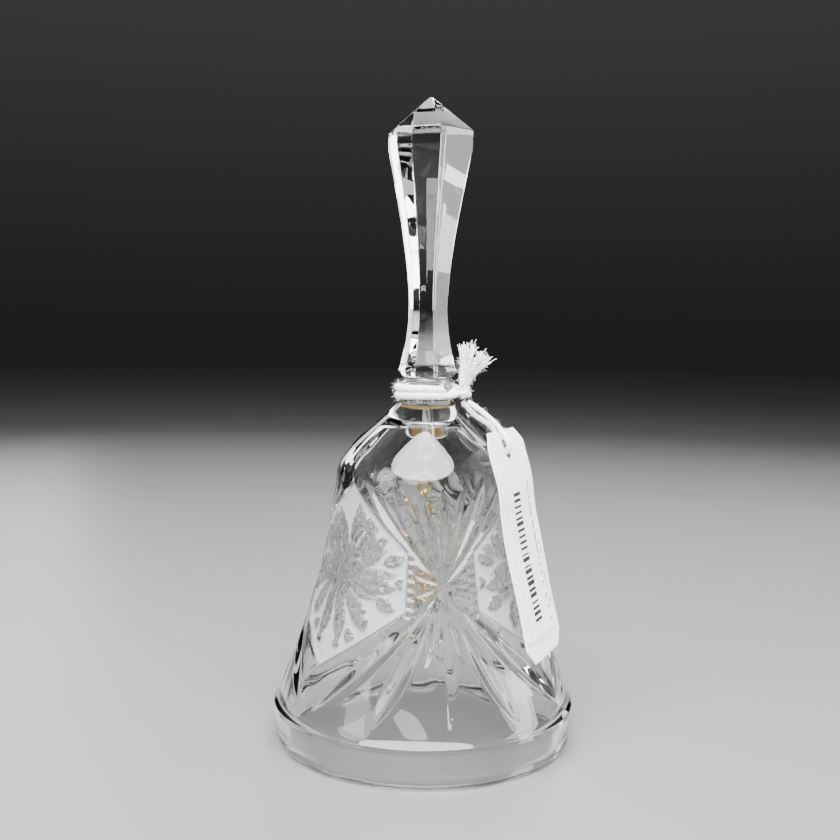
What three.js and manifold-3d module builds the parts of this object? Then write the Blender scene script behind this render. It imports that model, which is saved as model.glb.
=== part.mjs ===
// A cut-crystal dinner bell: a hollow glass bowl with a bonded hexagonal handle, a bead clapper
// on a fine chain, and a paper tag tied round the neck. Millimetres, +Z up. The bell stands on
// its rim with the axis on Z. An azimuth is counted from -Y towards +X, in degrees.
import * as THREE from "three";
import * as BufferGeometryUtils from "three/addons/utils/BufferGeometryUtils.js";
import Module from "manifold-3d";

const wasm = await Module();
wasm.setup();

// ---- Driving dimensions ----
const clearance = 0.3; // air left between two pieces that touch on the real bell

// Bowl
const rimRadius = 41; // standing edge
const bandRadius = 42; // crest of the plain band above the rim
const bandHeight = 11;
const shoulderRadius = 24.9;
const shoulderHeight = 74;
const neckRadius = 6.7; // waist that the string is tied round
const crownRise = 21; // from the shoulder up to the neck
const neckLength = 4.6;
const wall = 4;
const rimFlat = 2.2; // width of the ground flat that the bell stands on
const flare = 0.47; // radius gained per millimetre going down, at the band
const taper = 0.12; // the same at the shoulder
const ceilingDepth = 7.5; // glass between the hollow's ceiling and the neck

// Cut decoration: one star repeats round the bowl
const stars = 3;
const starAzimuth = 9.4;
const starHeight = 49;
const rayDepth = 1.1;
const rayHalfWidth = 2.3;

// Handle
const handleSides = 6;
const handleTurn = 12.8; // azimuth of one of its edges
const handleFootRadius = 8.44; // all handle radii are measured to the edges
const handleWaistRadius = 5.6;
const handleShoulderRadius = 12.1;
const handleLength = 66.5; // from its bonding face to the shoulder
const handlePoint = 9.3; // from the shoulder up to the tip
const collarRadius = 7.5;
const collarHeight = 1;
const bondThickness = 0.4;
const bondGap = 0.1; // air above and below the bond in place of contact

// Clapper
const plugRadius = 6;
const plugHeight = 4;
const wire = 0.9; // chain wire and pin diameter
const eyeRadius = 1.9; // wire centre line of the hanging eye
const links = 8;
const linkRadius = 1.65; // wire centre line at the round ends of a link
const linkStraight = 2.4;
const beadRadius = 6.5;
const beadHeight = 12;
const beadSides = 10;
const capRadius = 2.6;
const capHeight = 1.2;
const pinHeadRadius = 1.3;

// Sticker
const stickerRadius = 4.6;
const stickerThickness = 0.12;
const stickerAzimuth = 184;
const stickerHeight = 87.2;

// String and tag
const stringRadius = 0.9; // the two turns round the neck
const knotAzimuth = 67;
const knotRadius = 2.1;
const cordRadius = 0.65; // the loop that the tag hangs on
const tagWidth = 28;
const tagThickness = 0.45;
const tagClip = 4; // clipped corners
const holeRadius = 2.9;
const labelMargin = 1.5;
const labelThickness = 0.15;
const labelGap = 0.08;

// ---- Heights that follow ----
const neckHeight = shoulderHeight + crownRise;
const neckTop = neckHeight + neckLength;
const collarTop = neckTop + collarHeight;
const handleBase = collarTop + bondThickness + 2 * bondGap;
const ceilingHeight = neckHeight - ceilingDepth;
const plugTop = ceilingHeight - clearance;
const eyeHeight = plugTop - plugHeight - eyeRadius - 1.2;
const linkPitch = 2 * linkRadius + linkStraight - wire - clearance;
const firstLinkHeight = eyeHeight - eyeRadius + wire + clearance - linkRadius - linkStraight / 2;

// ---- Materials ----
const makeMaterial = (colour, roughness, metalness = 0) =>
  new THREE.MeshStandardMaterial({ color: colour, roughness, metalness });
const crystal = () => {
  const material = makeMaterial(0xe8eeee, 0.04);
  material.transparent = true;
  material.opacity = 0.35;
  return material;
};
const brass = () => makeMaterial(0xc9a04e, 0.25, 1);
const goldFoil = () => makeMaterial(0xd9a021, 0.35, 1);
const cement = () => makeMaterial(0xdfe3e0, 0.3);
const cotton = () => makeMaterial(0xf3f1ec, 0.95);
const card = () => makeMaterial(0xf6f6f3, 0.8);

// ---- Helpers ----
const group = new THREE.Group();

function addPiece(name, geometry, material, parent = group) {
  const mesh = new THREE.Mesh(geometry, material);
  mesh.name = name;
  parent.add(mesh);
  return mesh;
}

const radians = THREE.MathUtils.degToRad;
const point2 = (radius, height) => new THREE.Vector2(radius, height);

// A point at an azimuth, a radius and a height, moved sideways along the tangent there.
function polar(azimuth, radius, height, sideways = 0) {
  const a = radians(azimuth);
  const x = radius * Math.sin(a) + sideways * Math.cos(a);
  const y = -radius * Math.cos(a) + sideways * Math.sin(a);
  return new THREE.Vector3(x, y, height);
}

// A profile of (radius, height) points turned about Z, its first edge at an azimuth.
function turned(profile, segments, azimuth = 0) {
  const geometry = new THREE.LatheGeometry(profile, segments, radians(azimuth));
  return geometry.rotateX(Math.PI / 2);
}

function toSolid(geometry) {
  const bare = new THREE.BufferGeometry();
  bare.setAttribute("position", geometry.getAttribute("position").clone());
  bare.setIndex(geometry.index ? geometry.index.clone() : null);
  const merged = BufferGeometryUtils.mergeVertices(bare, 1e-4);
  const index = Array.from(merged.index.array);
  const triangles = [];
  for (let i = 0; i < index.length; i += 3) {
    const [a, b, c] = index.slice(i, i + 3);
    if (a !== b && b !== c && c !== a) triangles.push(a, b, c);
  }
  const vertProperties = new Float32Array(merged.getAttribute("position").array);
  const triVerts = new Uint32Array(triangles);
  return new wasm.Manifold(new wasm.Mesh({ numProp: 3, vertProperties, triVerts }));
}

function fromSolid(solid) {
  const mesh = solid.getMesh();
  const geometry = new THREE.BufferGeometry();
  geometry.setAttribute("position", new THREE.BufferAttribute(mesh.vertProperties, 3));
  geometry.setIndex(new THREE.BufferAttribute(mesh.triVerts, 1));
  geometry.computeVertexNormals();
  return geometry;
}

// A closed body from rings of points of equal count; a ring of one point is a tip.
function lofted(rings) {
  const positions = [];
  const starts = [];
  for (const ring of rings) {
    starts.push(positions.length / 3);
    for (const p of ring) positions.push(p.x, p.y, p.z);
  }
  const triangles = [];
  for (let k = 0; k + 1 < rings.length; k++) {
    const count = Math.max(rings[k].length, rings[k + 1].length);
    for (let i = 0; i < count; i++) {
      const next = (i + 1) % count;
      const low = starts[k];
      const high = starts[k + 1];
      if (rings[k].length > 1) {
        triangles.push(low + i, low + next, high + (rings[k + 1].length > 1 ? next : 0));
      }
      if (rings[k + 1].length > 1) {
        triangles.push(low + (rings[k].length > 1 ? i : 0), high + next, high + i);
      }
    }
  }
  const geometry = new THREE.BufferGeometry();
  geometry.setAttribute("position", new THREE.Float32BufferAttribute(positions, 3));
  geometry.setIndex(triangles);
  geometry.computeVertexNormals();
  return geometry;
}

// A round tube along points, with flat ends.
function tube(points, radius, sides, steps) {
  const section = new THREE.Shape();
  for (let i = 0; i < sides; i++) {
    const a = (2 * Math.PI * i) / sides;
    const corner = [radius * Math.cos(a), radius * Math.sin(a)];
    if (i) section.lineTo(...corner);
    else section.moveTo(...corner);
  }
  const path = new THREE.CatmullRomCurve3(points, false, "centripetal");
  return new THREE.ExtrudeGeometry(section, { steps, extrudePath: path, bevelEnabled: false });
}

// ---- Outline of the bowl ----
function skirtCurve() {
  const third = (shoulderHeight - bandHeight) / 3;
  return new THREE.CubicBezierCurve(
    point2(bandRadius, bandHeight),
    point2(bandRadius - flare * third, bandHeight + third),
    point2(shoulderRadius + taper * third, shoulderHeight - third),
    point2(shoulderRadius, shoulderHeight),
  );
}

function crownCurve() {
  const rise = crownRise;
  const inset = shoulderRadius - neckRadius;
  return new THREE.CubicBezierCurve(
    point2(shoulderRadius, shoulderHeight),
    point2(shoulderRadius - taper * 0.36 * rise, shoulderHeight + 0.36 * rise),
    point2(neckRadius + 0.37 * inset, neckHeight - 0.31 * rise),
    point2(neckRadius, neckHeight),
  );
}

const skirt = skirtCurve();
const crown = crownCurve();

// The outer surface at an azimuth and a height: where it is and which way it faces.
function bowlSurface(azimuth, height) {
  const curve = height < shoulderHeight ? skirt : crown;
  let low = 0;
  let high = 1;
  for (let i = 0; i < 30; i++) {
    const middle = (low + high) / 2;
    if (curve.getPoint(middle).y < height) low = middle;
    else high = middle;
  }
  const radius = curve.getPoint(low).x;
  const along = curve.getTangent(low);
  const place = polar(azimuth, radius, height);
  const normal = polar(azimuth, along.y, -along.x);
  return { place, normal, radius };
}

function innerPoint(curve, t) {
  const along = curve.getTangent(t);
  const outer = curve.getPoint(t);
  return point2(outer.x - wall * along.y, outer.y + wall * along.x);
}

function bowlProfile() {
  const inside = [];
  for (let i = 0; i <= 6; i++) inside.push(innerPoint(skirt, i / 6));
  for (let i = 1; i <= 12; i++) {
    const p = innerPoint(crown, i / 12);
    if (p.y < ceilingHeight - 0.6) inside.push(p);
  }
  const last = inside[inside.length - 1];
  const foot = rimRadius - wall;
  const standing = (foot + rimRadius) / 2;
  const profile = [point2(0, ceilingHeight), point2(last.x - 1.6, ceilingHeight)];
  profile.push(...inside.reverse());
  profile.push(point2(foot, 1), point2(standing - rimFlat / 2, 0), point2(standing + rimFlat / 2, 0));
  profile.push(point2(rimRadius, 1.2), point2(bandRadius, bandHeight - 0.6));
  for (let i = 0; i <= 8; i++) profile.push(skirt.getPoint(0.012 + (i / 8) * 0.988));
  for (let i = 1; i <= 6; i++) profile.push(crown.getPoint(i / 6));
  profile.push(point2(neckRadius, neckTop), point2(collarRadius, neckTop + 0.3));
  profile.push(point2(collarRadius, collarTop), point2(0, collarTop));
  return profile;
}

// ---- Cut decoration ----
// A V-shaped mitre cut over the bowl between two places, deepest half way, running out at its ends.
function mitreCutter(from, to, halfWidth, depth) {
  const steps = 6;
  const lift = 0.4;
  const rings = [];
  for (let i = 0; i <= steps; i++) {
    const t = i / steps;
    const azimuth = from[0] + (to[0] - from[0]) * t;
    const height = from[1] + (to[1] - from[1]) * t;
    const here = bowlSurface(azimuth, height);
    const ahead = bowlSurface(azimuth + (to[0] - from[0]) * 0.01, height + (to[1] - from[1]) * 0.01);
    const along = ahead.place.clone().sub(here.place).normalize();
    const side = here.normal.clone().cross(along).normalize();
    const swell = Math.sqrt(Math.sin(Math.PI * t));
    const at = (sideways, out) =>
      here.place.clone().addScaledVector(side, sideways).addScaledVector(here.normal, out);
    if (i === 0 || i === steps) {
      rings.push([at(0, lift)]);
      continue;
    }
    const reach = halfWidth * swell * (1 + lift / (depth * swell));
    rings.push([at(-reach, lift), at(0, lift + 0.6), at(reach, lift), at(0, -depth * swell)]);
  }
  const solid = toSolid(lofted(rings));
  return solid.volume() < 0 ? toSolid(lofted(rings.reverse())) : solid;
}

// The rays of one star: [azimuth from the star, height of the tip, share of the full width].
function starRays() {
  const low = bandHeight + 2;
  const high = shoulderHeight + 2;
  const rays = [[0, low, 1], [0, high - 3, 0.8]];
  for (const side of [-1, 1]) {
    rays.push([side * 30, low, 1], [side * 59, low, 1], [side * 9, starHeight - 20, 0.7]);
    rays.push([side * 29, high, 0.9], [side * 49, high, 1]);
  }
  return rays;
}

function cutBowl(solid) {
  let bowl = solid;
  for (let s = 0; s < stars; s++) {
    const azimuth = starAzimuth + (360 / stars) * s;
    for (const [turn, tip, share] of starRays()) {
      const start = 0.16; // the rays begin this share of their length out from the star's centre
      const from = [azimuth + turn * start, starHeight + (tip - starHeight) * start];
      const cutter = mitreCutter(from, [azimuth + turn, tip], rayHalfWidth * share, rayDepth * share);
      bowl = bowl.subtract(cutter);
    }
  }
  return bowl;
}

function addBowl() {
  const blank = toSolid(turned(bowlProfile(), 48));
  addPiece("bell_bowl", fromSolid(cutBowl(blank)), crystal());
}

// ---- Handle ----
function handleProfile() {
  const foot = handleBase + 1.6;
  const shoulder = handleBase + handleLength;
  const waist = foot + 0.27 * (shoulder - foot);
  const cheek = shoulder - 4.5;
  const lower = new THREE.CubicBezierCurve(
    point2(handleFootRadius, foot),
    point2(handleFootRadius - 1.5, foot + 5),
    point2(handleWaistRadius, waist - 7),
    point2(handleWaistRadius, waist),
  );
  const upper = new THREE.CubicBezierCurve(
    point2(handleWaistRadius, waist),
    point2(handleWaistRadius, waist + 13),
    point2(handleShoulderRadius - 2.4, cheek - 12),
    point2(handleShoulderRadius, cheek),
  );
  const tip = shoulder + handlePoint;
  const profile = [point2(0, handleBase), point2(collarRadius, handleBase)];
  profile.push(...lower.getPoints(4), ...upper.getPoints(7).slice(1));
  profile.push(point2(handleShoulderRadius, shoulder), point2(1, tip - 0.5), point2(0, tip));
  return profile;
}

function addHandle() {
  addPiece("handle", turned(handleProfile(), handleSides, handleTurn), crystal());
  const bottom = collarTop + bondGap;
  const bond = [point2(0, bottom), point2(collarRadius - 0.6, bottom)];
  bond.push(point2(collarRadius - 0.6, bottom + bondThickness), point2(0, bottom + bondThickness));
  addPiece("handle_bond", turned(bond, 24), cement());
}

// ---- Clapper ----
function addHanger() {
  const shank = wire / 2;
  const bore = shank + clearance;
  const bottom = plugTop - plugHeight;
  const boreTop = plugTop - 1;
  const plug = [
    point2(0, boreTop), point2(bore, boreTop), point2(bore, bottom), point2(plugRadius - 1, bottom),
    point2(plugRadius, bottom + 1), point2(plugRadius, plugTop - 0.6), point2(plugRadius - 0.6, plugTop),
    point2(0, plugTop),
  ];
  addPiece("hanger_plug", turned(plug, 20), cement());

  const ring = new THREE.TorusGeometry(eyeRadius, wire / 2, 6, 20).rotateX(Math.PI / 2);
  const top = boreTop - clearance;
  const length = top - (eyeHeight + eyeRadius);
  const stem = new THREE.CylinderGeometry(shank, shank, length, 8);
  stem.rotateX(Math.PI / 2).translate(0, 0, eyeRadius + length / 2);
  const eye = addPiece("hanger_eye", fromSolid(toSolid(ring).add(toSolid(stem))), brass());
  eye.position.z = eyeHeight;
}

// An oval link standing in the XZ plane: a ring pulled apart into two round ends.
function linkGeometry() {
  const around = 20;
  const ring = new THREE.TorusGeometry(linkRadius, wire / 2, 6, around);
  ring.rotateZ(Math.PI / around);
  ring.rotateX(Math.PI / 2);
  const places = ring.getAttribute("position");
  for (let i = 0; i < places.count; i++) {
    const z = places.getZ(i);
    places.setZ(i, z + (Math.sign(z) * linkStraight) / 2);
  }
  return ring;
}

function addChain() {
  for (let i = 0; i < links; i++) {
    const link = addPiece(`chain_link_${i + 1}`, linkGeometry(), brass());
    link.position.z = firstLinkHeight - i * linkPitch;
    link.rotation.z = i % 2 === 0 ? Math.PI / 2 : 0;
  }
}

function addClapper() {
  const lastLink = firstLinkHeight - (links - 1) * linkPitch;
  const ringRadius = 1.5;
  const hang = lastLink - linkRadius - linkStraight / 2 + wire / 2 + clearance + wire / 2;
  const ringHeight = hang - ringRadius;
  const capTop = ringHeight - ringRadius - wire / 2 - 0.4;
  const beadTop = capTop - capHeight - clearance;
  const beadMiddle = beadTop - beadHeight / 2;
  const lowerCap = beadMiddle - beadHeight / 2 - clearance;
  const headTop = lowerCap - capHeight - clearance;
  const bore = wire / 2 + clearance;

  const ring = new THREE.TorusGeometry(ringRadius, wire / 2, 6, 16);
  ring.rotateX(Math.PI / 2).rotateZ(links % 2 === 0 ? Math.PI / 2 : 0).translate(0, 0, ringHeight);
  const pinBottom = headTop - pinHeadRadius;
  const pinLength = ringHeight - ringRadius - pinBottom;
  const pin = new THREE.CylinderGeometry(wire / 2, wire / 2, pinLength, 8);
  pin.rotateX(Math.PI / 2).translate(0, 0, pinBottom + pinLength / 2);
  const head = new THREE.SphereGeometry(pinHeadRadius, 12, 8);
  head.rotateX(Math.PI / 2).translate(0, 0, pinBottom);
  const wholePin = toSolid(ring).add(toSolid(pin)).add(toSolid(head));
  addPiece("clapper_pin", fromSolid(wholePin), brass());

  const cap = (bottom, up) => {
    const wide = up > 0 ? bottom : bottom + capHeight;
    const narrow = wide + up * capHeight;
    const section = [point2(bore, wide), point2(capRadius, wide), point2(capRadius * 0.55, narrow)];
    section.push(point2(bore, narrow), point2(bore, wide));
    return turned(up > 0 ? section : section.reverse(), 16);
  };
  addPiece("clapper_upper_cap", cap(capTop - capHeight, 1), brass());
  addPiece("clapper_lower_cap", cap(lowerCap - capHeight, -1), brass());

  const half = beadHeight / 2;
  const bead = [
    point2(bore, beadMiddle - half), point2(beadRadius * 0.42, beadMiddle - half),
    point2(beadRadius * 0.86, beadMiddle - half * 0.55), point2(beadRadius, beadMiddle),
    point2(beadRadius * 0.86, beadMiddle + half * 0.55), point2(beadRadius * 0.42, beadMiddle + half),
    point2(bore, beadMiddle + half), point2(bore, beadMiddle - half),
  ];
  addPiece("clapper_bead", turned(bead, beadSides), crystal());
}

// ---- Sticker ----
// A round foil disc bent to the crown: two skins of rings, one above the other.
function addSticker() {
  const gap = 0.15;
  const rings = 3;
  const around = 24;
  const middle = bowlSurface(stickerAzimuth, stickerHeight);
  const up = new THREE.Vector3(0, 0, 1);
  const side = up.clone().cross(middle.normal).normalize();
  const rise = middle.normal.clone().cross(side).normalize();
  const on = (share, turn, out) => {
    const a = (2 * Math.PI * turn) / around;
    const along = share * stickerRadius * Math.sin(a) * rise.z;
    const across = share * stickerRadius * Math.cos(a);
    const there = bowlSurface(stickerAzimuth, stickerHeight + along);
    const azimuth = stickerAzimuth + THREE.MathUtils.radToDeg(across / there.radius);
    const spot = bowlSurface(azimuth, stickerHeight + along);
    return spot.place.addScaledVector(spot.normal, out);
  };
  const ring = (share, out) => Array.from({ length: around }, (_, i) => on(share, i, out));
  const skins = [[on(0, 0, gap)]];
  for (let k = 1; k <= rings; k++) skins.push(ring(k / rings, gap));
  for (let k = rings; k >= 1; k--) skins.push(ring(k / rings, gap + stickerThickness));
  skins.push([on(0, 0, gap + stickerThickness)]);
  const solid = toSolid(lofted(skins));
  const outward = solid.volume() < 0 ? lofted(skins.reverse()) : lofted(skins);
  addPiece("gold_sticker", outward, goldFoil());
}

// ---- String ----
const stringRing = neckRadius + clearance + stringRadius; // centre line of the turns
const lowerTurn = neckHeight + stringRadius + 0.3;
const upperTurn = lowerTurn + 2 * stringRadius + 0.1;
const knotHeight = (lowerTurn + upperTurn) / 2 + 0.2;
const knotOut = stringRing + stringRadius + clearance + knotRadius;

// Two turns, the first climbing to the second behind the knot.
function addNeckString() {
  const points = [];
  const begin = knotAzimuth + 40;
  const end = knotAzimuth + 720 - 34;
  const steps = 60;
  for (let i = 0; i <= steps; i++) {
    const azimuth = begin + ((end - begin) * i) / steps;
    const climb = THREE.MathUtils.smoothstep(azimuth, knotAzimuth + 360 - 30, knotAzimuth + 360 + 34);
    points.push(polar(azimuth, stringRing, lowerTurn + (upperTurn - lowerTurn) * climb));
  }
  addPiece("neck_string", tube(points, stringRadius, 8, 72), cotton());
}

function addKnot() {
  const knot = new THREE.SphereGeometry(knotRadius, 14, 10);
  const places = knot.getAttribute("position");
  for (let i = 0; i < places.count; i++) {
    const p = new THREE.Vector3().fromBufferAttribute(places, i);
    const lump = 1 - 0.1 * Math.abs(Math.sin(p.x * 1.6 + p.z)) * Math.cos(p.y * 1.3);
    places.setXYZ(i, p.x * lump, p.y * lump, p.z * lump);
  }
  const piece = addPiece("string_knot", knot, cotton());
  piece.position.copy(polar(knotAzimuth, knotOut, knotHeight));
}

// Four frayed ends that stand up and out of the knot.
function addTails() {
  const rise = knotHeight + knotRadius + clearance;
  const fan = [[-2.6, 9.8, 0.6], [-0.9, 9.4, 2.3], [0.9, 7.6, 4], [2.6, 6.4, 5.4]];
  fan.forEach(([sideways, up, out], i) => {
    const points = [0, 0.3, 0.65, 1].map((t) => {
      const apart = 1.15 * (i - 1.5) * (1 - t) + sideways * t;
      return polar(knotAzimuth, knotOut + out * t ** 1.3, rise + up * t, apart);
    });
    addPiece(`string_tail_${i + 1}`, tube(points, 0.5, 8, 8), cotton());
  });
}

// ---- Tag ----
// The tag's middle line, inner face: [height, air to the bowl there]. It springs over the shoulder,
// then lies straight down the skirt.
const tagLine = [
  [shoulderHeight - 46.8, 0.6], [shoulderHeight - 26.5, 1.7], [shoulderHeight - 10, 1.2],
  [shoulderHeight - 0.5, 1.2], [shoulderHeight + 0.286 * crownRise, 1.9],
  [shoulderHeight + 0.619 * crownRise, 5.3],
];
const tagBend = new THREE.CatmullRomCurve3(
  tagLine.map(([height, air]) => {
    const { radius } = bowlSurface(knotAzimuth, height);
    return new THREE.Vector3(radius + air, 0, height);
  }),
);
const tagLength = tagBend.getLength();

// A place on the tag: how far up it from the lower end, how far across, how far out of its inner face.
function onTag(up, across, out) {
  const t = THREE.MathUtils.clamp(up / tagLength, 0, 1);
  const place = tagBend.getPointAt(t);
  const along = tagBend.getTangentAt(t);
  const radius = place.x + along.z * out;
  const height = place.z - along.x * out;
  return polar(knotAzimuth, radius, height, across);
}

// A sheet bent to the tag: an outline of [up, half width], between two depths.
function bentSheet(outline, inner, outer) {
  const rings = outline.map(([up, half]) => [
    onTag(up, half, inner), onTag(up, -half, inner), onTag(up, -half, outer), onTag(up, half, outer),
  ]);
  return closedLoft(rings);
}

// Quad rings joined along their length, with both ends filled.
function closedLoft(rings) {
  const positions = rings.flat().flatMap((p) => [p.x, p.y, p.z]);
  const triangles = [];
  for (let k = 0; k + 1 < rings.length; k++) {
    for (let i = 0; i < 4; i++) {
      const a = 4 * k + i;
      const b = 4 * k + ((i + 1) % 4);
      triangles.push(a, b, b + 4, a, b + 4, a + 4);
    }
  }
  const last = 4 * (rings.length - 1);
  triangles.push(0, 2, 1, 0, 3, 2, last, last + 1, last + 2, last, last + 2, last + 3);
  const geometry = new THREE.BufferGeometry();
  geometry.setAttribute("position", new THREE.Float32BufferAttribute(positions, 3));
  geometry.setIndex(triangles);
  geometry.computeVertexNormals();
  return geometry;
}

const holeUp = tagLength - 5.2; // how far up the tag its hole is

function addTag() {
  const half = tagWidth / 2;
  const outline = [[0, half - tagClip], [tagClip, half]];
  const steps = 24;
  for (let i = 1; i < steps; i++) outline.push([tagClip + ((tagLength - 2 * tagClip) * i) / steps, half]);
  outline.push([tagLength - tagClip, half], [tagLength, half - tagClip]);
  const sheet = toSolid(bentSheet(outline, 0, tagThickness));

  const punch = new THREE.CylinderGeometry(holeRadius, holeRadius, 4, 16);
  const middle = onTag(holeUp, 0, 0);
  const out = onTag(holeUp, 0, 1).sub(middle);
  const turn = new THREE.Quaternion().setFromUnitVectors(new THREE.Vector3(0, 1, 0), out);
  punch.applyQuaternion(turn).translate(middle.x, middle.y, middle.z);
  addPiece("tag_card", fromSolid(sheet.subtract(toSolid(punch))), card());

  const labelTop = holeUp - holeRadius - labelMargin;
  const labelLine = [];
  const labelBottom = labelMargin + tagClip;
  const rows = 20;
  for (let i = 0; i <= rows; i++) {
    labelLine.push([labelBottom + ((labelTop - labelBottom) * i) / rows, half - labelMargin]);
  }
  const lift = tagThickness + labelGap;
  addPiece("tag_label", bentSheet(labelLine, lift, lift + labelThickness), card());
}

// The loop that the tag hangs on: [up the tag past its hole, sideways, out of the card], from the
// knot down the outside, through the hole and back up behind the card's end.
function addTagCord() {
  const exit = polar(knotAzimuth, knotOut + 1.5, knotHeight - knotRadius - clearance - 0.3, -0.9);
  const back = polar(knotAzimuth, knotOut - 0.9, knotHeight - knotRadius - clearance - 0.5, 0.9);
  const over = onTag(holeUp + 2.6, -1.3, tagThickness + 1.4);
  const behind = onTag(tagLength, 1.6, -1.3).add(polar(knotAzimuth, -1.2, 1.4));
  const between = (from, to, share, raised) => from.clone().lerp(to, share).add(new THREE.Vector3(0, 0, raised));
  const points = [
    exit,
    between(exit, over, 0.32, 0.8),
    between(exit, over, 0.72, 1.1),
    over,
    onTag(holeUp + 0.3, -0.8, tagThickness + 1.15),
    onTag(holeUp - 1, 0, tagThickness / 2),
    onTag(holeUp + 0.3, 0.8, -1.15),
    onTag(holeUp + 2.6, 1.3, -1.4),
    behind,
    between(back, behind, 0.42, -0.6),
    back,
  ];
  addPiece("tag_cord", tube(points, cordRadius, 8, 40), cotton());
}

addBowl();
addHandle();
addHanger();
addChain();
addClapper();
addSticker();
addNeckString();
addKnot();
addTails();
addTag();
addTagCord();

export default group;
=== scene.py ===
import math

import bmesh
import bpy
import numpy as np
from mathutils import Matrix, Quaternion, Vector


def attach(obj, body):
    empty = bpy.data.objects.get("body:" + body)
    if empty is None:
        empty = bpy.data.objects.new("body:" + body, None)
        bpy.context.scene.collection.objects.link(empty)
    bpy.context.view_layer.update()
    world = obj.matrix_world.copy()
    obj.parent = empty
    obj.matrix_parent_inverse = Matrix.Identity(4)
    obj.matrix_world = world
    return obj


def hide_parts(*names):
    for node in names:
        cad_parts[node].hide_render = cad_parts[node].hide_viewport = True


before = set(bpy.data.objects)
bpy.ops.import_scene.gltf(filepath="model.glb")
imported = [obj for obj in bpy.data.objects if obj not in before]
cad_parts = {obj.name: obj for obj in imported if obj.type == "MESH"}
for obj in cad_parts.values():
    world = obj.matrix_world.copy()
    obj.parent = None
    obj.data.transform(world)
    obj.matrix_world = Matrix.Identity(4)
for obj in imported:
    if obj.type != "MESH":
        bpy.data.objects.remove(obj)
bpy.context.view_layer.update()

MM = 0.001
scene = bpy.context.scene


# ---------------------------------------------------------------- camera
CAMERA_PLACE = (0.0, -0.3000, 0.1152)
CAMERA_LENS = 46.37
CAMERA_YAW = -0.35
CAMERA_PITCH = 4.98
CAMERA_ROLL = 0.75


def add_camera():
    data = bpy.data.cameras.new("camera")
    data.lens = CAMERA_LENS
    data.sensor_width = 36.0
    data.clip_start = 0.01
    data.clip_end = 20.0
    camera = bpy.data.objects.new("camera", data)
    scene.collection.objects.link(camera)
    yaw = math.radians(CAMERA_YAW)
    pitch = math.radians(CAMERA_PITCH)
    level = math.cos(pitch)
    ahead = Vector((math.sin(yaw) * level, math.cos(yaw) * level, -math.sin(pitch)))
    camera.location = CAMERA_PLACE
    camera.rotation_mode = "QUATERNION"
    roll = Quaternion((0.0, 0.0, 1.0), math.radians(CAMERA_ROLL))
    camera.rotation_quaternion = ahead.to_track_quat("-Z", "Y") @ roll
    scene.camera = camera


add_camera()


# ---------------------------------------------------------------- dimensions, as in the CAD
BAND_RADIUS = 42.0
BAND_HEIGHT = 11.0
FLARE = 0.47  # radius gained per millimetre going down, at the band
SHOULDER_RADIUS = 24.9
SHOULDER_HEIGHT = 74.0
TAPER = 0.12  # the same at the shoulder
NECK_RADIUS = 6.7
NECK_HEIGHT = 95.0
NECK_TOP = 99.6
RIM_RADIUS = 41.0
WALL = 4.0
CEILING = 87.5
COLLAR_RADIUS = 7.5
COLLAR_TOP = 100.6
HANDLE_BASE = 101.2
HANDLE_TURN = 12.8  # azimuth of one of its edges
HANDLE_FOOT = 8.44  # the handle's radii are measured to its edges
HANDLE_WAIST = 5.6
HANDLE_SHOULDER = 12.1
HANDLE_LENGTH = 66.5
HANDLE_TOP = 177.0
STAR_AZIMUTH = 9.4
STAR_HEIGHT = 49.0
PANEL_HEIGHT = 50.0
WIRE = 0.9
EYE_RADIUS = 1.9
EYE_HEIGHT = 80.1
LINKS = 8
LINK_RADIUS = 1.65
LINK_STRAIGHT = 2.4
LINK_PITCH = 4.5
FIRST_LINK_HEIGHT = 76.55
PLUG_RADIUS = 6.0
PLUG_TOP = 87.2
PLUG_BOTTOM = 83.2
BORE = 0.75
PIN_EYE_HEIGHT = 41.9
PIN_HEAD_HEIGHT = 22.95
PIN_HEAD_RADIUS = 1.3
UPPER_CAP_HEIGHT = 38.35
LOWER_CAP_HEIGHT = 25.75
BEAD_MIDDLE = 32.05
BEAD_HALF = 6.0
BEAD_SIDES = 10
STICKER_AZIMUTH = 184.0
STICKER_HEIGHT = 87.2
STICKER_RADIUS = 4.6
KNOT_AZIMUTH = 67.0
KNOT_OUT = 11.2
KNOT_HEIGHT = 97.35
STRING_RING = 7.9
LOWER_TURN = 96.2
UPPER_TURN = 98.1
TAG_WIDTH = 28.0
TAG_THICKNESS = 0.45
TAG_CLIP = 4.0
HOLE_RADIUS = 2.9
LABEL_MARGIN = 1.5
LABEL_GAP = 0.08
LABEL_THICKNESS = 0.15
CORD_RADIUS = 0.65


# ---------------------------------------------------------------- curve and mesh helpers
def polar(azimuth, radius, height, sideways=0.0):
    a = np.radians(azimuth)
    x = radius * np.sin(a) + sideways * np.cos(a)
    y = -radius * np.cos(a) + sideways * np.sin(a)
    return np.stack(np.broadcast_arrays(x, y, np.asarray(height, float)), axis=-1)


def bezier(corners, t):
    a, b, c, d = (np.asarray(p, float) for p in corners)
    t = np.asarray(t, float)[:, None]
    s = 1 - t
    return s**3 * a + 3 * s * s * t * b + 3 * s * t * t * c + t**3 * d


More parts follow.
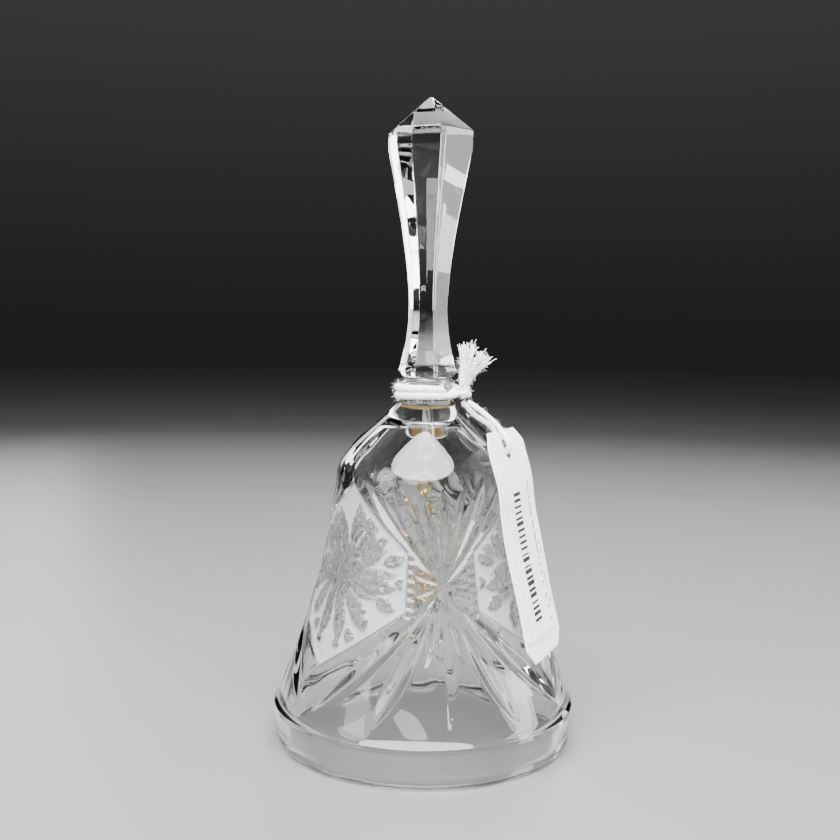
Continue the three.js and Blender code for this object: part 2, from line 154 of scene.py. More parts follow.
def catmull(points, steps):
    """A centripetal Catmull-Rom curve through points, as evenly spaced points."""
    p = np.asarray(points, float)
    p = np.vstack([2 * p[0] - p[1], p, 2 * p[-1] - p[-2]])
    out = []
    for i in range(1, len(p) - 2):
        x0, x1, x2, x3 = p[i - 1:i + 3]
        d0, d1, d2 = (max(np.linalg.norm(q) ** 0.5, 1e-6) for q in (x1 - x0, x2 - x1, x3 - x2))
        m1 = ((x1 - x0) / d0 - (x2 - x0) / (d0 + d1) + (x2 - x1) / d1) * d1
        m2 = ((x2 - x1) / d1 - (x3 - x1) / (d1 + d2) + (x3 - x2) / d2) * d1
        t = np.linspace(0, 1, 40, endpoint=False)[:, None]
        rise = 2 * t**3 - 3 * t**2 + 1
        out.append(rise * x1 + (t**3 - 2 * t**2 + t) * m1 + (1 - rise) * x2 + (t**3 - t**2) * m2)
    return respaced(np.vstack(out + [p[-2:-1]]), steps)


def unit(vectors):
    return vectors / np.linalg.norm(vectors, axis=-1, keepdims=True)


def directions(line):
    """Unit vectors along a line at each of its points."""
    return unit(np.gradient(line, axis=0))


def leg_lengths(line):
    return np.linalg.norm(np.diff(line, axis=0), axis=1)


def run_along(line):
    """The distance along a line at each of its points."""
    return np.concatenate([[0], np.cumsum(leg_lengths(line))])


def respaced(line, steps):
    """The same polyline at evenly spaced points."""
    run = run_along(line)
    want = np.linspace(0, run[-1], steps)
    return np.stack([np.interp(want, run, line[:, k]) for k in range(line.shape[1])], axis=1)


def rounded(points, radii, arc=6):
    """A polyline with its inner corners rounded."""
    p = [np.asarray(q, float) for q in points]
    out = [p[0]]
    for i in range(1, len(p) - 1):
        before = (p[i - 1] - p[i]) / np.linalg.norm(p[i - 1] - p[i])
        after = (p[i + 1] - p[i]) / np.linalg.norm(p[i + 1] - p[i])
        start = p[i] + before * radii[i - 1]
        end = p[i] + after * radii[i - 1]
        for t in np.linspace(0, 1, arc):
            out.append((1 - t) ** 2 * start + 2 * t * (1 - t) * p[i] + t * t * end)
    return np.array(out + [p[-1]])


def smoothstep(low, high, x):
    t = np.clip((x - low) / (high - low), 0, 1)
    return t * t * (3 - 2 * t)


def bridge(low, high, count):
    """Quads between two closed rings of points, which start at low and at high."""
    pairs = [(c, (c + 1) % count) for c in range(count)]
    return [(low + c, low + n, high + n, high + c) for c, n in pairs]


def fan(first, count, tip, inward=False):
    """Triangles from a closed ring of points to one point."""
    faces = [(first + c, first + (c + 1) % count, tip) for c in range(count)]
    return [f[::-1] for f in faces] if inward else faces


def grid_faces(rows, columns, closed, first=0):
    faces = []
    for r in range(rows - 1):
        low = first + r * columns
        faces += bridge(low, low + columns, columns)[:columns if closed else columns - 1]
    return faces


def make_piece(name, points, faces, material, body, nodes, smooth=True):
    """A mesh piece, from points in millimetres, that stands for CAD nodes."""
    mesh = bpy.data.meshes.new(name)
    mesh.from_pydata((np.asarray(points, float) * MM).tolist(), [], [tuple(map(int, f)) for f in faces])
    mesh.validate()
    mesh.polygons.foreach_set("use_smooth", [smooth] * len(mesh.polygons))
    mesh.materials.append(material)
    mesh.update()
    piece = bpy.data.objects.new(name, mesh)
    scene.collection.objects.link(piece)
    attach(piece, body)
    if nodes:
        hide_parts(*nodes)
    return piece


def frames_along(line):
    """Two unit vectors square to the line at each point, carried along without twist."""
    ahead = directions(line)
    side = np.cross(ahead[0], [0.0, 0.0, 1.0])
    if np.linalg.norm(side) < 0.1:
        side = np.cross(ahead[0], [1.0, 0.0, 0.0])
    sides = []
    for a in ahead:
        side = side - a * np.dot(side, a)
        side = side / np.linalg.norm(side)
        sides.append(side)
    sides = np.array(sides)
    return sides, np.cross(ahead, sides)


class Parts:
    """Collects the points and faces of one mesh from several bits."""

    def __init__(self):
        self.points = []
        self.faces = []
        self.count = 0

    def add(self, points, faces):
        self.points.append(np.asarray(points, float))
        self.faces += [tuple(i + self.count for i in f) for f in faces]
        self.count += len(points)

    def all(self):
        return np.vstack(self.points), self.faces


def tube(parts, line, radii, sides=8, closed=False, normals=None):
    """A round tube along a line, its ends filled."""
    line = np.asarray(line, float)
    radii = np.broadcast_to(np.asarray(radii, float), (len(line),))
    u, v = frames_along(line) if normals is None else normals
    a = np.linspace(0, 2 * np.pi, sides, endpoint=False)
    ring = np.cos(a)[None, :, None] * u[:, None, :] + np.sin(a)[None, :, None] * v[:, None, :]
    points = (line[:, None, :] + ring * radii[:, None, None]).reshape(-1, 3)
    faces = grid_faces(len(line), sides, True)
    last = (len(line) - 1) * sides
    if closed:
        faces += bridge(last, 0, sides)
    else:
        faces.append(tuple(range(sides))[::-1])
        faces.append(tuple(last + c for c in range(sides)))
    parts.add(points, faces)


def turned(parts, profile, columns):
    """A profile of (radius, height) turned about Z. An end at radius 0 is closed by a point."""
    profile = np.asarray(profile, float)
    tip_low, tip_high = bool(profile[0, 0] < 1e-6), bool(profile[-1, 0] < 1e-6)
    body = profile[int(tip_low):len(profile) - int(tip_high)]
    azimuth = np.arange(columns) * 360.0 / columns
    points = polar(azimuth[None, :], body[:, :1], body[:, 1:]).reshape(-1, 3)
    faces = grid_faces(len(body), columns, True)
    last = (len(body) - 1) * columns
    if tip_low:
        faces += fan(0, columns, len(points), True)
        points = np.vstack([points, [0, 0, profile[0, 1]]])
    if tip_high:
        faces += fan(last, columns, len(points))
        points = np.vstack([points, [0, 0, profile[-1, 1]]])
    if not tip_low and not tip_high:
        faces += bridge(last, 0, columns)
    parts.add(points, faces)


# ---------------------------------------------------------------- material helpers
class Graph:
    """Short calls for the nodes of one tree. An input takes a value or another node's output."""

    def __init__(self, tree, shader):
        self.tree = tree
        self.shader = shader

    def connect(self, socket, value):
        if isinstance(value, bpy.types.NodeSocket):
            self.tree.links.new(value, socket)
        else:
            socket.default_value = value

    def add(self, kind, **inputs):
        """A new node. The names of its inputs have _ for each space."""
        made = self.tree.nodes.new("ShaderNode" + kind)
        for name, value in inputs.items():
            self.connect(made.inputs[name.replace("_", " ")], value)
        return made

    def shade(self, **inputs):
        for name, value in inputs.items():
            self.connect(self.shader.inputs[name.replace("_", " ")], value)

    def math(self, operation, *values):
        made = self.add("Math")
        made.operation = operation
        for socket, value in zip(made.inputs, values):
            self.connect(socket, value)
        return made.outputs[0]

    def times(self, first, second):
        return self.math("MULTIPLY", first, second)

    def place(self):
        return self.add("TexCoord").outputs["Object"]

    def noise(self, scale, detail=3.0, roughness=0.5, distortion=0.0):
        made = self.add(
            "TexNoise", Scale=scale, Detail=detail, Roughness=roughness, Distortion=distortion,
            Vector=self.place(),
        )
        return made.outputs["Fac"]

    def attribute(self, name):
        made = self.add("Attribute")
        made.attribute_name = name
        return made.outputs["Fac"]

    def ramp(self, factor, *stops):
        """A colour from (place, colour) stops."""
        made = self.add("ValToRGB", Fac=factor)
        elements = made.color_ramp.elements
        while len(elements) < len(stops):
            elements.new(0.5)
        for element, (place, colour) in zip(elements, stops):
            element.position = place
            element.color = (*colour, 1.0)
        return made.outputs["Color"]

    def remap(self, value, low, high, out_low, out_high):
        made = self.add(
            "MapRange", Value=value, From_Min=low, From_Max=high, To_Min=out_low, To_Max=out_high
        )
        return made.outputs["Result"]

    def bump(self, height, strength, distance, **normal):
        """Bumps the shader's surface, over another bump when its normal is given."""
        made = self.add("Bump", Height=height, Strength=strength, Distance=distance, **normal)
        self.shade(Normal=made.outputs["Normal"])
        return made.outputs["Normal"]


def new_material(name, **inputs):
    material = bpy.data.materials.new(name)
    material.use_nodes = True
    graph = Graph(material.node_tree, material.node_tree.nodes["Principled BSDF"])
    graph.shade(**inputs)
    return material, graph


# ---------------------------------------------------------------- materials
def crystal_material():
    """Polished crystal, acid-frosted where the mesh says so, and lightly pebbled on the relief."""
    material, graph = new_material(
        "crystal_glass", Base_Color=(0.955, 0.968, 0.964, 1), IOR=1.54, Transmission_Weight=1.0
    )
    frost = graph.attribute("frost")
    relief = graph.attribute("relief")
    smear = graph.noise(60.0, 4.0, 0.6)
    grain = graph.noise(1500.0, 2.0, 0.6)
    matt = graph.times(frost, graph.remap(grain, 0.3, 0.7, 0.42, 0.58))
    graph.shade(
        Roughness=graph.math("ADD", graph.remap(smear, 0.35, 0.75, 0.0, 0.03), matt),
        Transmission_Weight=graph.math("MULTIPLY_ADD", frost, -0.22, 1.0),
    )
    pebble = graph.noise(430.0, 3.0, 0.55, 1.6)
    normal = graph.bump(pebble, graph.times(relief, 0.7), 0.0009)
    graph.bump(grain, graph.times(frost, 0.5), 0.0001, Normal=normal)
    return material


def handle_material():
    """Solid crystal with faint draw lines from polishing."""
    material, graph = new_material(
        "handle_glass", Base_Color=(0.965, 0.975, 0.972, 1), IOR=1.54, Transmission_Weight=1.0
    )
    smear = graph.noise(55.0, 4.0, 0.6)
    graph.shade(Roughness=graph.remap(smear, 0.35, 0.8, 0.0, 0.035))
    graph.bump(graph.noise(70.0, 2.0, 0.5), 0.25, 0.0003)
    return material


def brass_material():
    material, graph = new_material("brass_wire", Metallic=1.0)
    spots = graph.noise(900.0, 4.0, 0.65)
    stops = (0.3, (0.34, 0.21, 0.07)), (0.55, (0.72, 0.5, 0.2)), (0.8, (0.86, 0.66, 0.32))
    graph.shade(Base_Color=graph.ramp(spots, *stops), Roughness=graph.remap(spots, 0.3, 0.8, 0.42, 0.16))
    graph.bump(graph.noise(3000.0, 2.0), 0.25, 0.00005)
    return material


def foil_material():
    material, graph = new_material("sticker_foil", Metallic=0.65)
    blotch = graph.noise(420.0, 5.0, 0.7)
    stops = (0.3, (0.62, 0.27, 0.02)), (0.5, (0.95, 0.52, 0.04)), (0.75, (1.0, 0.72, 0.14))
    graph.shade(Base_Color=graph.ramp(blotch, *stops), Roughness=graph.remap(blotch, 0.3, 0.75, 0.5, 0.22))
    graph.bump(graph.noise(1600.0, 3.0, 0.6), 0.5, 0.00008)
    return material


def cement_material(name, colour):
    """Clear adhesive that has set with bubbles and a slight haze."""
    material, graph = new_material(name, IOR=1.5, Transmission_Weight=1.0)
    bubbles = graph.add("TexVoronoi", Scale=900.0, Vector=graph.place())
    haze = graph.noise(350.0, 4.0, 0.6)
    thick = tuple(0.75 * c for c in colour)
    graph.shade(
        Base_Color=graph.ramp(haze, (0.3, thick), (0.7, colour)),
        Roughness=graph.remap(haze, 0.3, 0.7, 0.04, 0.22),
    )
    graph.bump(bubbles.outputs["Distance"], 0.25, 0.00006)
    return material


def cotton_material():
    material, graph = new_material(
        "cotton_string", Roughness=0.92, Sheen_Weight=0.25, Subsurface_Weight=0.2,
        Subsurface_Radius=(0.0008, 0.0007, 0.0006),
    )
    fibre = graph.noise(2600.0, 3.0, 0.6)
    tone = graph.noise(260.0, 3.0, 0.6)
    both = graph.math("MULTIPLY_ADD", fibre, 0.6, graph.times(tone, 0.4))
    stops = (0.28, (0.80, 0.79, 0.77)), (0.45, (0.91, 0.905, 0.895)), (0.7, (0.96, 0.96, 0.955))
    graph.shade(Base_Color=graph.ramp(both, *stops))
    graph.bump(fibre, 0.6, 0.00012)
    return material


def paper(graph, low, high):
    """Paper fibre, as a colour that is returned and as bump."""
    fibre = graph.noise(1500.0, 5.0, 0.7, 1.2)
    cloud = graph.noise(90.0, 3.0, 0.5)
    both = graph.math("MULTIPLY_ADD", fibre, 0.35, graph.times(cloud, 0.65))
    graph.bump(fibre, 0.3, 0.00008)
    return graph.ramp(both, (0.32, low), (0.62, high))


def card_material():
    material, graph = new_material("tag_paper", Roughness=0.78)
    graph.shade(Base_Color=paper(graph, (0.84, 0.835, 0.82), (0.92, 0.918, 0.91)))
    return material


def between(graph, value, low, high):
    above = graph.math("GREATER_THAN", value, low)
    return graph.times(above, graph.math("LESS_THAN", value, high))


def cells(graph, value, pitch, seed):
    """A random number for each step of pitch along value."""
    index = graph.math("FLOOR", graph.math("DIVIDE", value, pitch))
    made = graph.add("TexWhiteNoise")
    made.noise_dimensions = "1D"
    graph.connect(made.inputs["W"], graph.math("ADD", index, seed))
    return made.outputs["Value"]


def within_cell(graph, value, pitch):
    return graph.math("FRACT", graph.math("DIVIDE", value, pitch))


UV_SPAN = 100.0  # millimetres of the tag to one unit of its UV map
BAR_PITCH = 1.62
LONG_DASH = 0.85
SHORT_DASH = 0.7
INK = (0.012, 0.012, 0.013, 1)


def label_material():
    """A white paper label printed with plain bars and two rows of plain dashes."""
    material, graph = new_material("label_paper", Roughness=0.6, Specular_IOR_Level=0.2)
    clean = paper(graph, (0.88, 0.88, 0.875), (0.95, 0.95, 0.945))
    sheet = graph.add("UVMap")
    sheet.uv_map = "sheet"
    split = graph.add("SeparateXYZ", Vector=sheet.outputs["UV"])
    up = graph.times(split.outputs["X"], UV_SPAN)
    across = graph.times(split.outputs["Y"], UV_SPAN)

    def print_in(mark, across_span, up_span):
        window = graph.times(between(graph, across, *across_span), between(graph, up, *up_span))
        return graph.times(mark, window)

    wide = graph.math("MULTIPLY_ADD", cells(graph, up, BAR_PITCH, 3.0), 0.5, 0.28)
    bar = graph.math("LESS_THAN", within_cell(graph, up, BAR_PITCH), wide)
    long_dash = graph.math("GREATER_THAN", cells(graph, up, LONG_DASH, 41.0), 0.42)
    gap = graph.math("LESS_THAN", within_cell(graph, up, LONG_DASH), 0.8)
    short_dash = graph.math("GREATER_THAN", cells(graph, up, SHORT_DASH, 90.0), 0.5)
    ink = print_in(bar, (9.4, 15.0), (9.0, 45.0))
    ink = graph.math("MAXIMUM", ink, print_in(graph.times(long_dash, gap), (21.8, 22.7), (7.0, 47.0)))
    ink = graph.math("MAXIMUM", ink, print_in(short_dash, (24.2, 24.9), (12.0, 30.0)))
    worn = graph.times(ink, graph.remap(graph.noise(2400.0, 3.0), 0.2, 0.4, 0.85, 1.0))
    mix = graph.add("Mix")
    mix.data_type = "RGBA"
    factor, clean_side, ink_side = (mix.inputs[k] for k in (0, 6, 7))
    for socket, value in ((factor, worn), (clean_side, clean), (ink_side, INK)):
        graph.connect(socket, value)
    graph.shade(Base_Color=mix.outputs[2])
    return material


CRYSTAL = crystal_material()
HANDLE_GLASS = handle_material()
BRASS = brass_material()
FOIL = foil_material()
BOND = cement_material("bond_cement", (0.86, 0.88, 0.87))
PLUG = cement_material("plug_cement", (0.93, 0.93, 0.90))
COTTON = cotton_material()
CARD = card_material()
LABEL = label_material()


# ---------------------------------------------------------------- outline of the bowl
THIRD = (SHOULDER_HEIGHT - BAND_HEIGHT) / 3
RISE = NECK_HEIGHT - SHOULDER_HEIGHT
SKIRT = (
    (BAND_RADIUS, BAND_HEIGHT), (BAND_RADIUS - FLARE * THIRD, BAND_HEIGHT + THIRD),
    (SHOULDER_RADIUS + TAPER * THIRD, SHOULDER_HEIGHT - THIRD), (SHOULDER_RADIUS, SHOULDER_HEIGHT),
)
CROWN = (
    (SHOULDER_RADIUS, SHOULDER_HEIGHT), (SHOULDER_RADIUS - 0.0432 * RISE, SHOULDER_HEIGHT + 0.36 * RISE),
    (NECK_RADIUS + 0.37 * (SHOULDER_RADIUS - NECK_RADIUS), NECK_HEIGHT - 0.31 * RISE),
    (NECK_RADIUS, NECK_HEIGHT),
)
OUTLINE = np.vstack([bezier(SKIRT, np.linspace(0, 1, 400)), bezier(CROWN, np.linspace(0, 1, 300))[1:]])


def outline_radius(height):
    return np.interp(height, OUTLINE[:, 1], OUTLINE[:, 0])


def outward(profile):
    """Unit normals of a (radius, height) line that runs up with the solid on its inner side."""
    along = directions(profile)
    return np.stack([along[:, 1], -along[:, 0]], axis=1)


def surface(azimuth, height):
    """A place on the bowl's outer surface and the normal there."""
    height = np.asarray(height, float)
    step = 0.05
    slope = (outline_radius(height + step) - outline_radius(height - step)) / (2 * step)
    length = np.sqrt(1 + slope**2)
    place = polar(azimuth, outline_radius(height), height)
    normal = polar(azimuth, 1 / length, -slope / length)
    return place, normal


# ---------------------------------------------------------------- cut decoration
def stroke(places, start, end, half_width, depth, peak=0.6, floor=0.0):
    """Depth of a V-shaped mitre cut over the surface between two (azimuth, height) ends."""
    steps = max(2, int(abs(end[0] - start[0]) / 6 + abs(end[1] - start[1]) / 6) + 1)
    t = np.linspace(0, 1, steps + 1)
    path, _ = surface(start[0] + (end[0] - start[0]) * t, start[1] + (end[1] - start[1]) * t)
    near = np.full(places.shape[:2], 1e9)
    share = np.zeros(places.shape[:2])
    for i in range(steps):
        leg = path[i + 1] - path[i]
        s = np.clip(((places - path[i]) @ leg) / (leg @ leg), 0, 1)
        away = np.linalg.norm(places - path[i] - s[..., None] * leg, axis=-1)
        closer = away < near
        near = np.where(closer, away, near)
        share = np.where(closer, (i + s) / steps, share)
    power = math.log(0.5) / math.log(peak)
    swell = np.sin(np.pi * share**power) ** 0.75
    swell = np.maximum(swell, floor * np.clip(1 - share * 3, 0, 1))
    swell = np.maximum(swell, 1e-3)
    return depth * swell * np.clip(1 - near / (half_width * swell), 0, 1)


FINE_CUTS = 22
RUNGS = 7  # short cuts in a ladder at each side of a star
RAYS = (
    # azimuth from the star, height of the tip, half width, depth, where it is widest
    (0, 13, 2.5, 1.25, 0.66), (30, 13, 2.4, 1.2, 0.68), (59, 13, 2.4, 1.2, 0.6), (9, 29, 1.5, 0.8, 0.6),
    (0, 73, 1.7, 0.9, 0.6), (13, 73, 1.1, 0.6, 0.6), (29, 76, 2.0, 1.0, 0.6), (49, 76, 2.2, 1.1, 0.55),
)


def star_depth(places):
    """Depth of the three stars' cuts: rays, fine cuts round the centre, and rungs."""
    depth = np.zeros(places.shape[:2])
    draw = np.random.default_rng(21)
    fine = []
    for _ in range(FINE_CUTS):
        turn = draw.uniform(0, 2 * math.pi)
        reach = draw.uniform(6, 15)
        fine.append((math.degrees(math.cos(turn) * reach / 30), STAR_HEIGHT + math.sin(turn) * reach))
    for around in (-120, 0, 120):
        for azimuth, tip, half, deep, peak in RAYS:
            for side in ((1,) if azimuth == 0 else (-1, 1)):
                end = (around + side * azimuth, tip)
                cut = stroke(places, (around, STAR_HEIGHT), end, half, deep, peak, 0.42)
                depth = np.maximum(depth, cut)
        for azimuth, tip in fine:
            cut = stroke(places, (around, STAR_HEIGHT), (around + azimuth, tip), 0.7, 0.38, 0.45, 0.5)
            depth = np.maximum(depth, cut)
        for side in (-1, 1):
            for k in range(RUNGS):
                height = 41.5 + 2.3 * k
                start = (around + side * 13.4, height - 0.7)
                cut = stroke(places, start, (around + side * 19.2, height + 0.7), 1.0, 0.55, 0.5)
                depth = np.maximum(depth, cut)
    return depth


def leaf(x, y, base, turn, length, width):
    """Height, 0 to 1, of a domed leaf with a vein and slanting ribs."""
    c, s = math.cos(turn), math.sin(turn)
    along = (x - base[0]) * c + (y - base[1]) * s
    side = -(x - base[0]) * s + (y - base[1]) * c
    t = np.clip(along / length, 0, 1)
    half = width / 2 * np.sin(np.pi * t**0.8) + 1e-6
    dome = np.sqrt(np.clip(1 - (side / half) ** 2, 0, 1)) * (along > 0) * (along < length)
    vein = 1 - 0.5 * np.exp(-(side / 0.45) ** 2)
    ribs = 1 - 0.38 * (0.5 + 0.5 * np.cos(2 * np.pi * (along - 0.8 * np.abs(side)) / 1.9))
    return dome * vein * ribs


def spray(x, y):
    """Height of a generic blossom with two rows of petals, and leaves and buds round it."""
    x = x / 1.22
    y = y / 1.16
    raised = np.zeros_like(x)
    for k in range(14):
        turn = 2 * math.pi * (k + 0.5) / 14
        start = (math.cos(turn) * 4.5, 1.0 + math.sin(turn) * 4.2)
        raised = np.maximum(raised, 0.8 * leaf(x, y, start, turn + 0.35, 9.0 + 2 * (k % 3), 3.6))
    centre = (0.0, 1.0)
    for k in range(9):
        raised = np.maximum(raised, leaf(x, y, centre, 2 * math.pi * k / 9 + 0.2, 7.2, 4.6))
    middle = np.hypot(x - centre[0], y - centre[1])
    raised = np.maximum(raised, 1.1 * np.sqrt(np.clip(1 - (middle / 1.8) ** 2, 0, 1)))
    for side in (-1, 1):
        for bx, by, turn, length, width in (
            (5.5, 4.0, 0.75, 8.5, 4.2), (6.5, -1.0, -0.1, 9.0, 4.6), (5.0, -4.5, -0.95, 9.0, 4.4),
            (2.0, 7.0, 1.25, 8.5, 4.0), (1.5, -6.0, -1.35, 9.5, 4.0), (11.0, 3.5, 0.3, 6.0, 3.2),
            (11.0, -4.0, -0.5, 6.0, 3.2), (14.5, -0.5, 0.0, 5.5, 3.4), (5.0, 10.0, 0.9, 5.0, 2.8),
            (5.0, -11.5, -0.8, 5.0, 2.8),
        ):
            angle = turn if side > 0 else math.pi - turn
            raised = np.maximum(raised, leaf(x, y, (side * bx, by), angle, length, width))
        for bx, by, size in ((10.5, 0.4, 1.5), (8.5, 8.2, 1.4), (9.0, -9.4, 1.4), (3.2, -15.0, 1.2)):
            away = np.hypot(x - side * bx, y - by)
            raised = np.maximum(raised, np.sqrt(np.clip(1 - (away / size) ** 2, 0, 1)))
    return raised


PANEL_DEPTH = 0.75


def bowl_maps(places, azimuth, height):
    """Depth below the blank, frosting and relief over one third of the bowl, star at azimuth 0."""
    cuts = star_depth(places)
    turn = (azimuth % 120) - 60
    radius = outline_radius(height)
    inside = (1 - np.abs(turn) / 61 - np.abs(height - PANEL_HEIGHT) / 24) * 17.0
    inside = np.minimum(inside, (42 - np.abs(turn)) * 0.5)
    panel = smoothstep(0.0, 0.55, inside)
    x = np.radians(turn) * radius
    raised = spray(x, height - PANEL_HEIGHT) * smoothstep(0.6, 2.2, inside)
    depth = np.maximum(cuts, panel * PANEL_DEPTH * (1 - np.clip(raised, 0, 1.1)))
    cut_away = 1 - smoothstep(0.02, 0.12, cuts)
    frost = panel * (1 - smoothstep(0.12, 0.42, raised)) * cut_away
    relief = panel * smoothstep(0.1, 0.5, raised) * cut_away
    return depth, frost, relief


# ---------------------------------------------------------------- bowl
COLUMNS = 432
INNER_COLUMNS = 144
SKIRT_ROWS = 128
CROWN_ROWS = 34
SEAM_AZIMUTH = 7.5


def bowl_outer_profile():
    """(radius, height) rows from the foot to the collar, and where the cut rows begin and end."""
    crest_corner = (BAND_RADIUS, BAND_HEIGHT)
    foot = rounded([(37.2, 0.9), (37.5, 0.0), (RIM_RADIUS, 0.0), crest_corner], [0.3, 2.1], 9)[:-1]
    band_heights = np.linspace(foot[-1, 1], 10.2, 10)
    band = np.stack([np.linspace(foot[-1, 0], 41.93, 10), band_heights], axis=1)[1:]
    skirt = respaced(bezier(SKIRT, np.linspace(0.012, 1, 600)), SKIRT_ROWS)
    crest = rounded([band[-1], crest_corner, skirt[2]], [0.6], 4)[1:-1]
    crown = respaced(bezier(CROWN, np.linspace(0, 1, 400)), CROWN_ROWS)[1:]
    neck = [crown[-1], (NECK_RADIUS, 97.0), (NECK_RADIUS, NECK_TOP)]
    ledge = [(COLLAR_RADIUS, 99.85), (COLLAR_RADIUS, COLLAR_TOP), (4.0, COLLAR_TOP)]
    collar = rounded(neck + ledge, [0.3, 0.2, 0.15, 0.15], 4)[1:]
    plain = len(foot) + len(band) + len(crest)
    rows = np.vstack([foot, band, crest, skirt[3:], crown, collar])
    return rows, plain, plain + len(skirt) - 3 + len(crown)


def bowl_inner_profile():
    outer = np.vstack([bezier(SKIRT, np.linspace(0, 1, 300)), bezier(CROWN, np.linspace(0, 0.9, 200))[1:]])
    inner = outer - WALL * outward(outer)
    inner = inner[inner[:, 1] < CEILING - 0.7]
    last = inner[-1]
    foot = rounded([(37.1, 1.1), (37.75, 3.4), inner[0], inner[12]], [0.5, 1.2], 5)[:-1]
    ceiling = rounded([last, (last[0] - 1.8, CEILING), (0.0, CEILING)], [1.2], 6)[1:]
    return np.vstack([foot, respaced(inner[13:], 42), ceiling])


def ripple(azimuth, height):
    """The faint waves that pressing leaves on the inside."""
    a = np.radians(azimuth)
    wave = 0.05 * np.sin(3 * a + height * 0.09) + 0.035 * np.sin(7 * a - height * 0.21 + 1.3)
    wave = wave + 0.03 * np.sin(height * 0.33 + 2 * a) + 0.035 * np.sin(17 * a + height * 0.55)
    return wave + 0.03 * np.sin(23 * a - height * 0.47 + 2.0) * np.sin(5 * a + 0.4)


def outer_maps(rows, first, last):
    """Depth, frosting and relief at each point of the outside, and each column's azimuth."""
    third = COLUMNS // 3
    local = (np.arange(third) - third // 2) * 360.0 / COLUMNS
    azimuth = np.broadcast_to(local[None, :], (len(rows), third))
    height = np.broadcast_to(rows[:, 1:2], azimuth.shape)
    maps = np.zeros((3, *azimuth.shape))
    cut = slice(first - 2, last)
    places = polar(azimuth[cut], rows[cut, :1], rows[cut, 1:])
    maps[:, cut] = bowl_maps(places, azimuth[cut], height[cut])
    keep = smoothstep(11.0, 12.5, height) * (1 - smoothstep(77, 79, height))
    ledge = 0.42 * smoothstep(11.05, 11.45, height) * (1 - smoothstep(12.0, 24.0, height))
    maps[0] = np.maximum(maps[0] * keep, ledge)
    depth, frost, relief = (np.tile(m, (1, 3)) for m in maps)
    turn = np.concatenate([local, local + 120, local + 240]) + STAR_AZIMUTH
    turn = np.broadcast_to(turn[None, :], depth.shape)
    height = rows[:, 1:2]
    seam = 0.14 * np.exp(-((turn - SEAM_AZIMUTH) * np.radians(1) * rows[:, :1] / 0.28) ** 2)
    depth = depth - seam * smoothstep(86, 90, height) * (1 - smoothstep(96, 99, height))
    return depth, frost, relief, turn


def hollow_points(inner):
    """Rings of points over the hollow, without the middle of its ceiling."""
    body = inner[:-1]
    turn = STAR_AZIMUTH - 60 + np.arange(INNER_COLUMNS) * 360.0 / INNER_COLUMNS
    turn = np.broadcast_to(turn[None, :], (len(body), INNER_COLUMNS))
    normals = outward(inner)[:-1]
    radius, height = body[:, :1], body[:, 1:]
    wave = ripple(turn, height) * smoothstep(3, 12, height) * (1 - smoothstep(80, 86, height))
    return polar(turn, radius - wave * normals[:, :1], height - wave * normals[:, 1:])


def rim_faces(start):
    """The foot's lower faces, from each inner column to the outer columns beside it."""
    ratio = COLUMNS // INNER_COLUMNS
    faces = []
    for c in range(INNER_COLUMNS):
        a = start + c
        b = start + (c + 1) % INNER_COLUMNS
        o = [(c * ratio + k) % COLUMNS for k in range(ratio + 1)]
        faces += [(a, o[1], o[0]), (a, o[2], o[1]), (a, b, o[2]), (b, o[3], o[2])]
    return faces


def add_bowl():
    rows, first, last = bowl_outer_profile()
    depth, frost, relief, turn = outer_maps(rows, first, last)
    normals = outward(rows)
    outer = polar(turn, rows[:, :1] - depth * normals[:, :1], rows[:, 1:2] - depth * normals[:, 1:])
    hollow = hollow_points(bowl_inner_profile())
    top = len(rows) * COLUMNS
    start = top + 1
    middle = start + len(hollow) * INNER_COLUMNS
    faces = grid_faces(len(rows), COLUMNS, True) + fan(top - COLUMNS, COLUMNS, top)
    faces += [f[::-1] for f in grid_faces(len(hollow), INNER_COLUMNS, True, start)]
    faces += fan(middle - INNER_COLUMNS, INNER_COLUMNS, middle, True)
    faces += rim_faces(start)
    points = np.vstack([
        outer.reshape(-1, 3), [0.0, 0.0, COLLAR_TOP], hollow.reshape(-1, 3), [0.0, 0.0, CEILING],
    ])
    piece = make_piece("bowl_glass", points, faces, CRYSTAL, "bell", ["bell_bowl"])
    for name, values in (("frost", frost), ("relief", relief)):
        full = np.zeros(len(points), np.float32)
        full[:top] = values.ravel()
        made = piece.data.attributes.new(name, "FLOAT", "POINT")
        made.data.foreach_set("value", full)


# ---------------------------------------------------------------- handle
def hexagon_ring(radius, corner):
    """(x, y) points of a hexagon with rounded corners, measured to its corners, one of them on X."""
    apothem = radius * math.cos(math.pi / 6)
    corner = min(corner, radius * 0.45)
    arc_centre = (apothem - corner) / math.cos(math.pi / 6)
    side_length = 2 * (apothem - corner) * math.tan(math.pi / 6)
    out = []
    for side in range(6):
        middle = math.radians(60.0 * side)
        for share in np.linspace(-30, 30, 5):
            a = math.radians(60.0 * side + share)
            x = arc_centre * math.cos(middle) + corner * math.cos(a)
            y = arc_centre * math.sin(middle) + corner * math.sin(a)
            out.append((x, y))
        here = np.array(out[-1])
        a = math.radians(60.0 * side + 30)
        along = np.array([-math.sin(a), math.cos(a)])
        for share in (0.04, 0.35, 0.65, 0.96):
            out.append(tuple(here + along * side_length * share))
    return np.array(out)


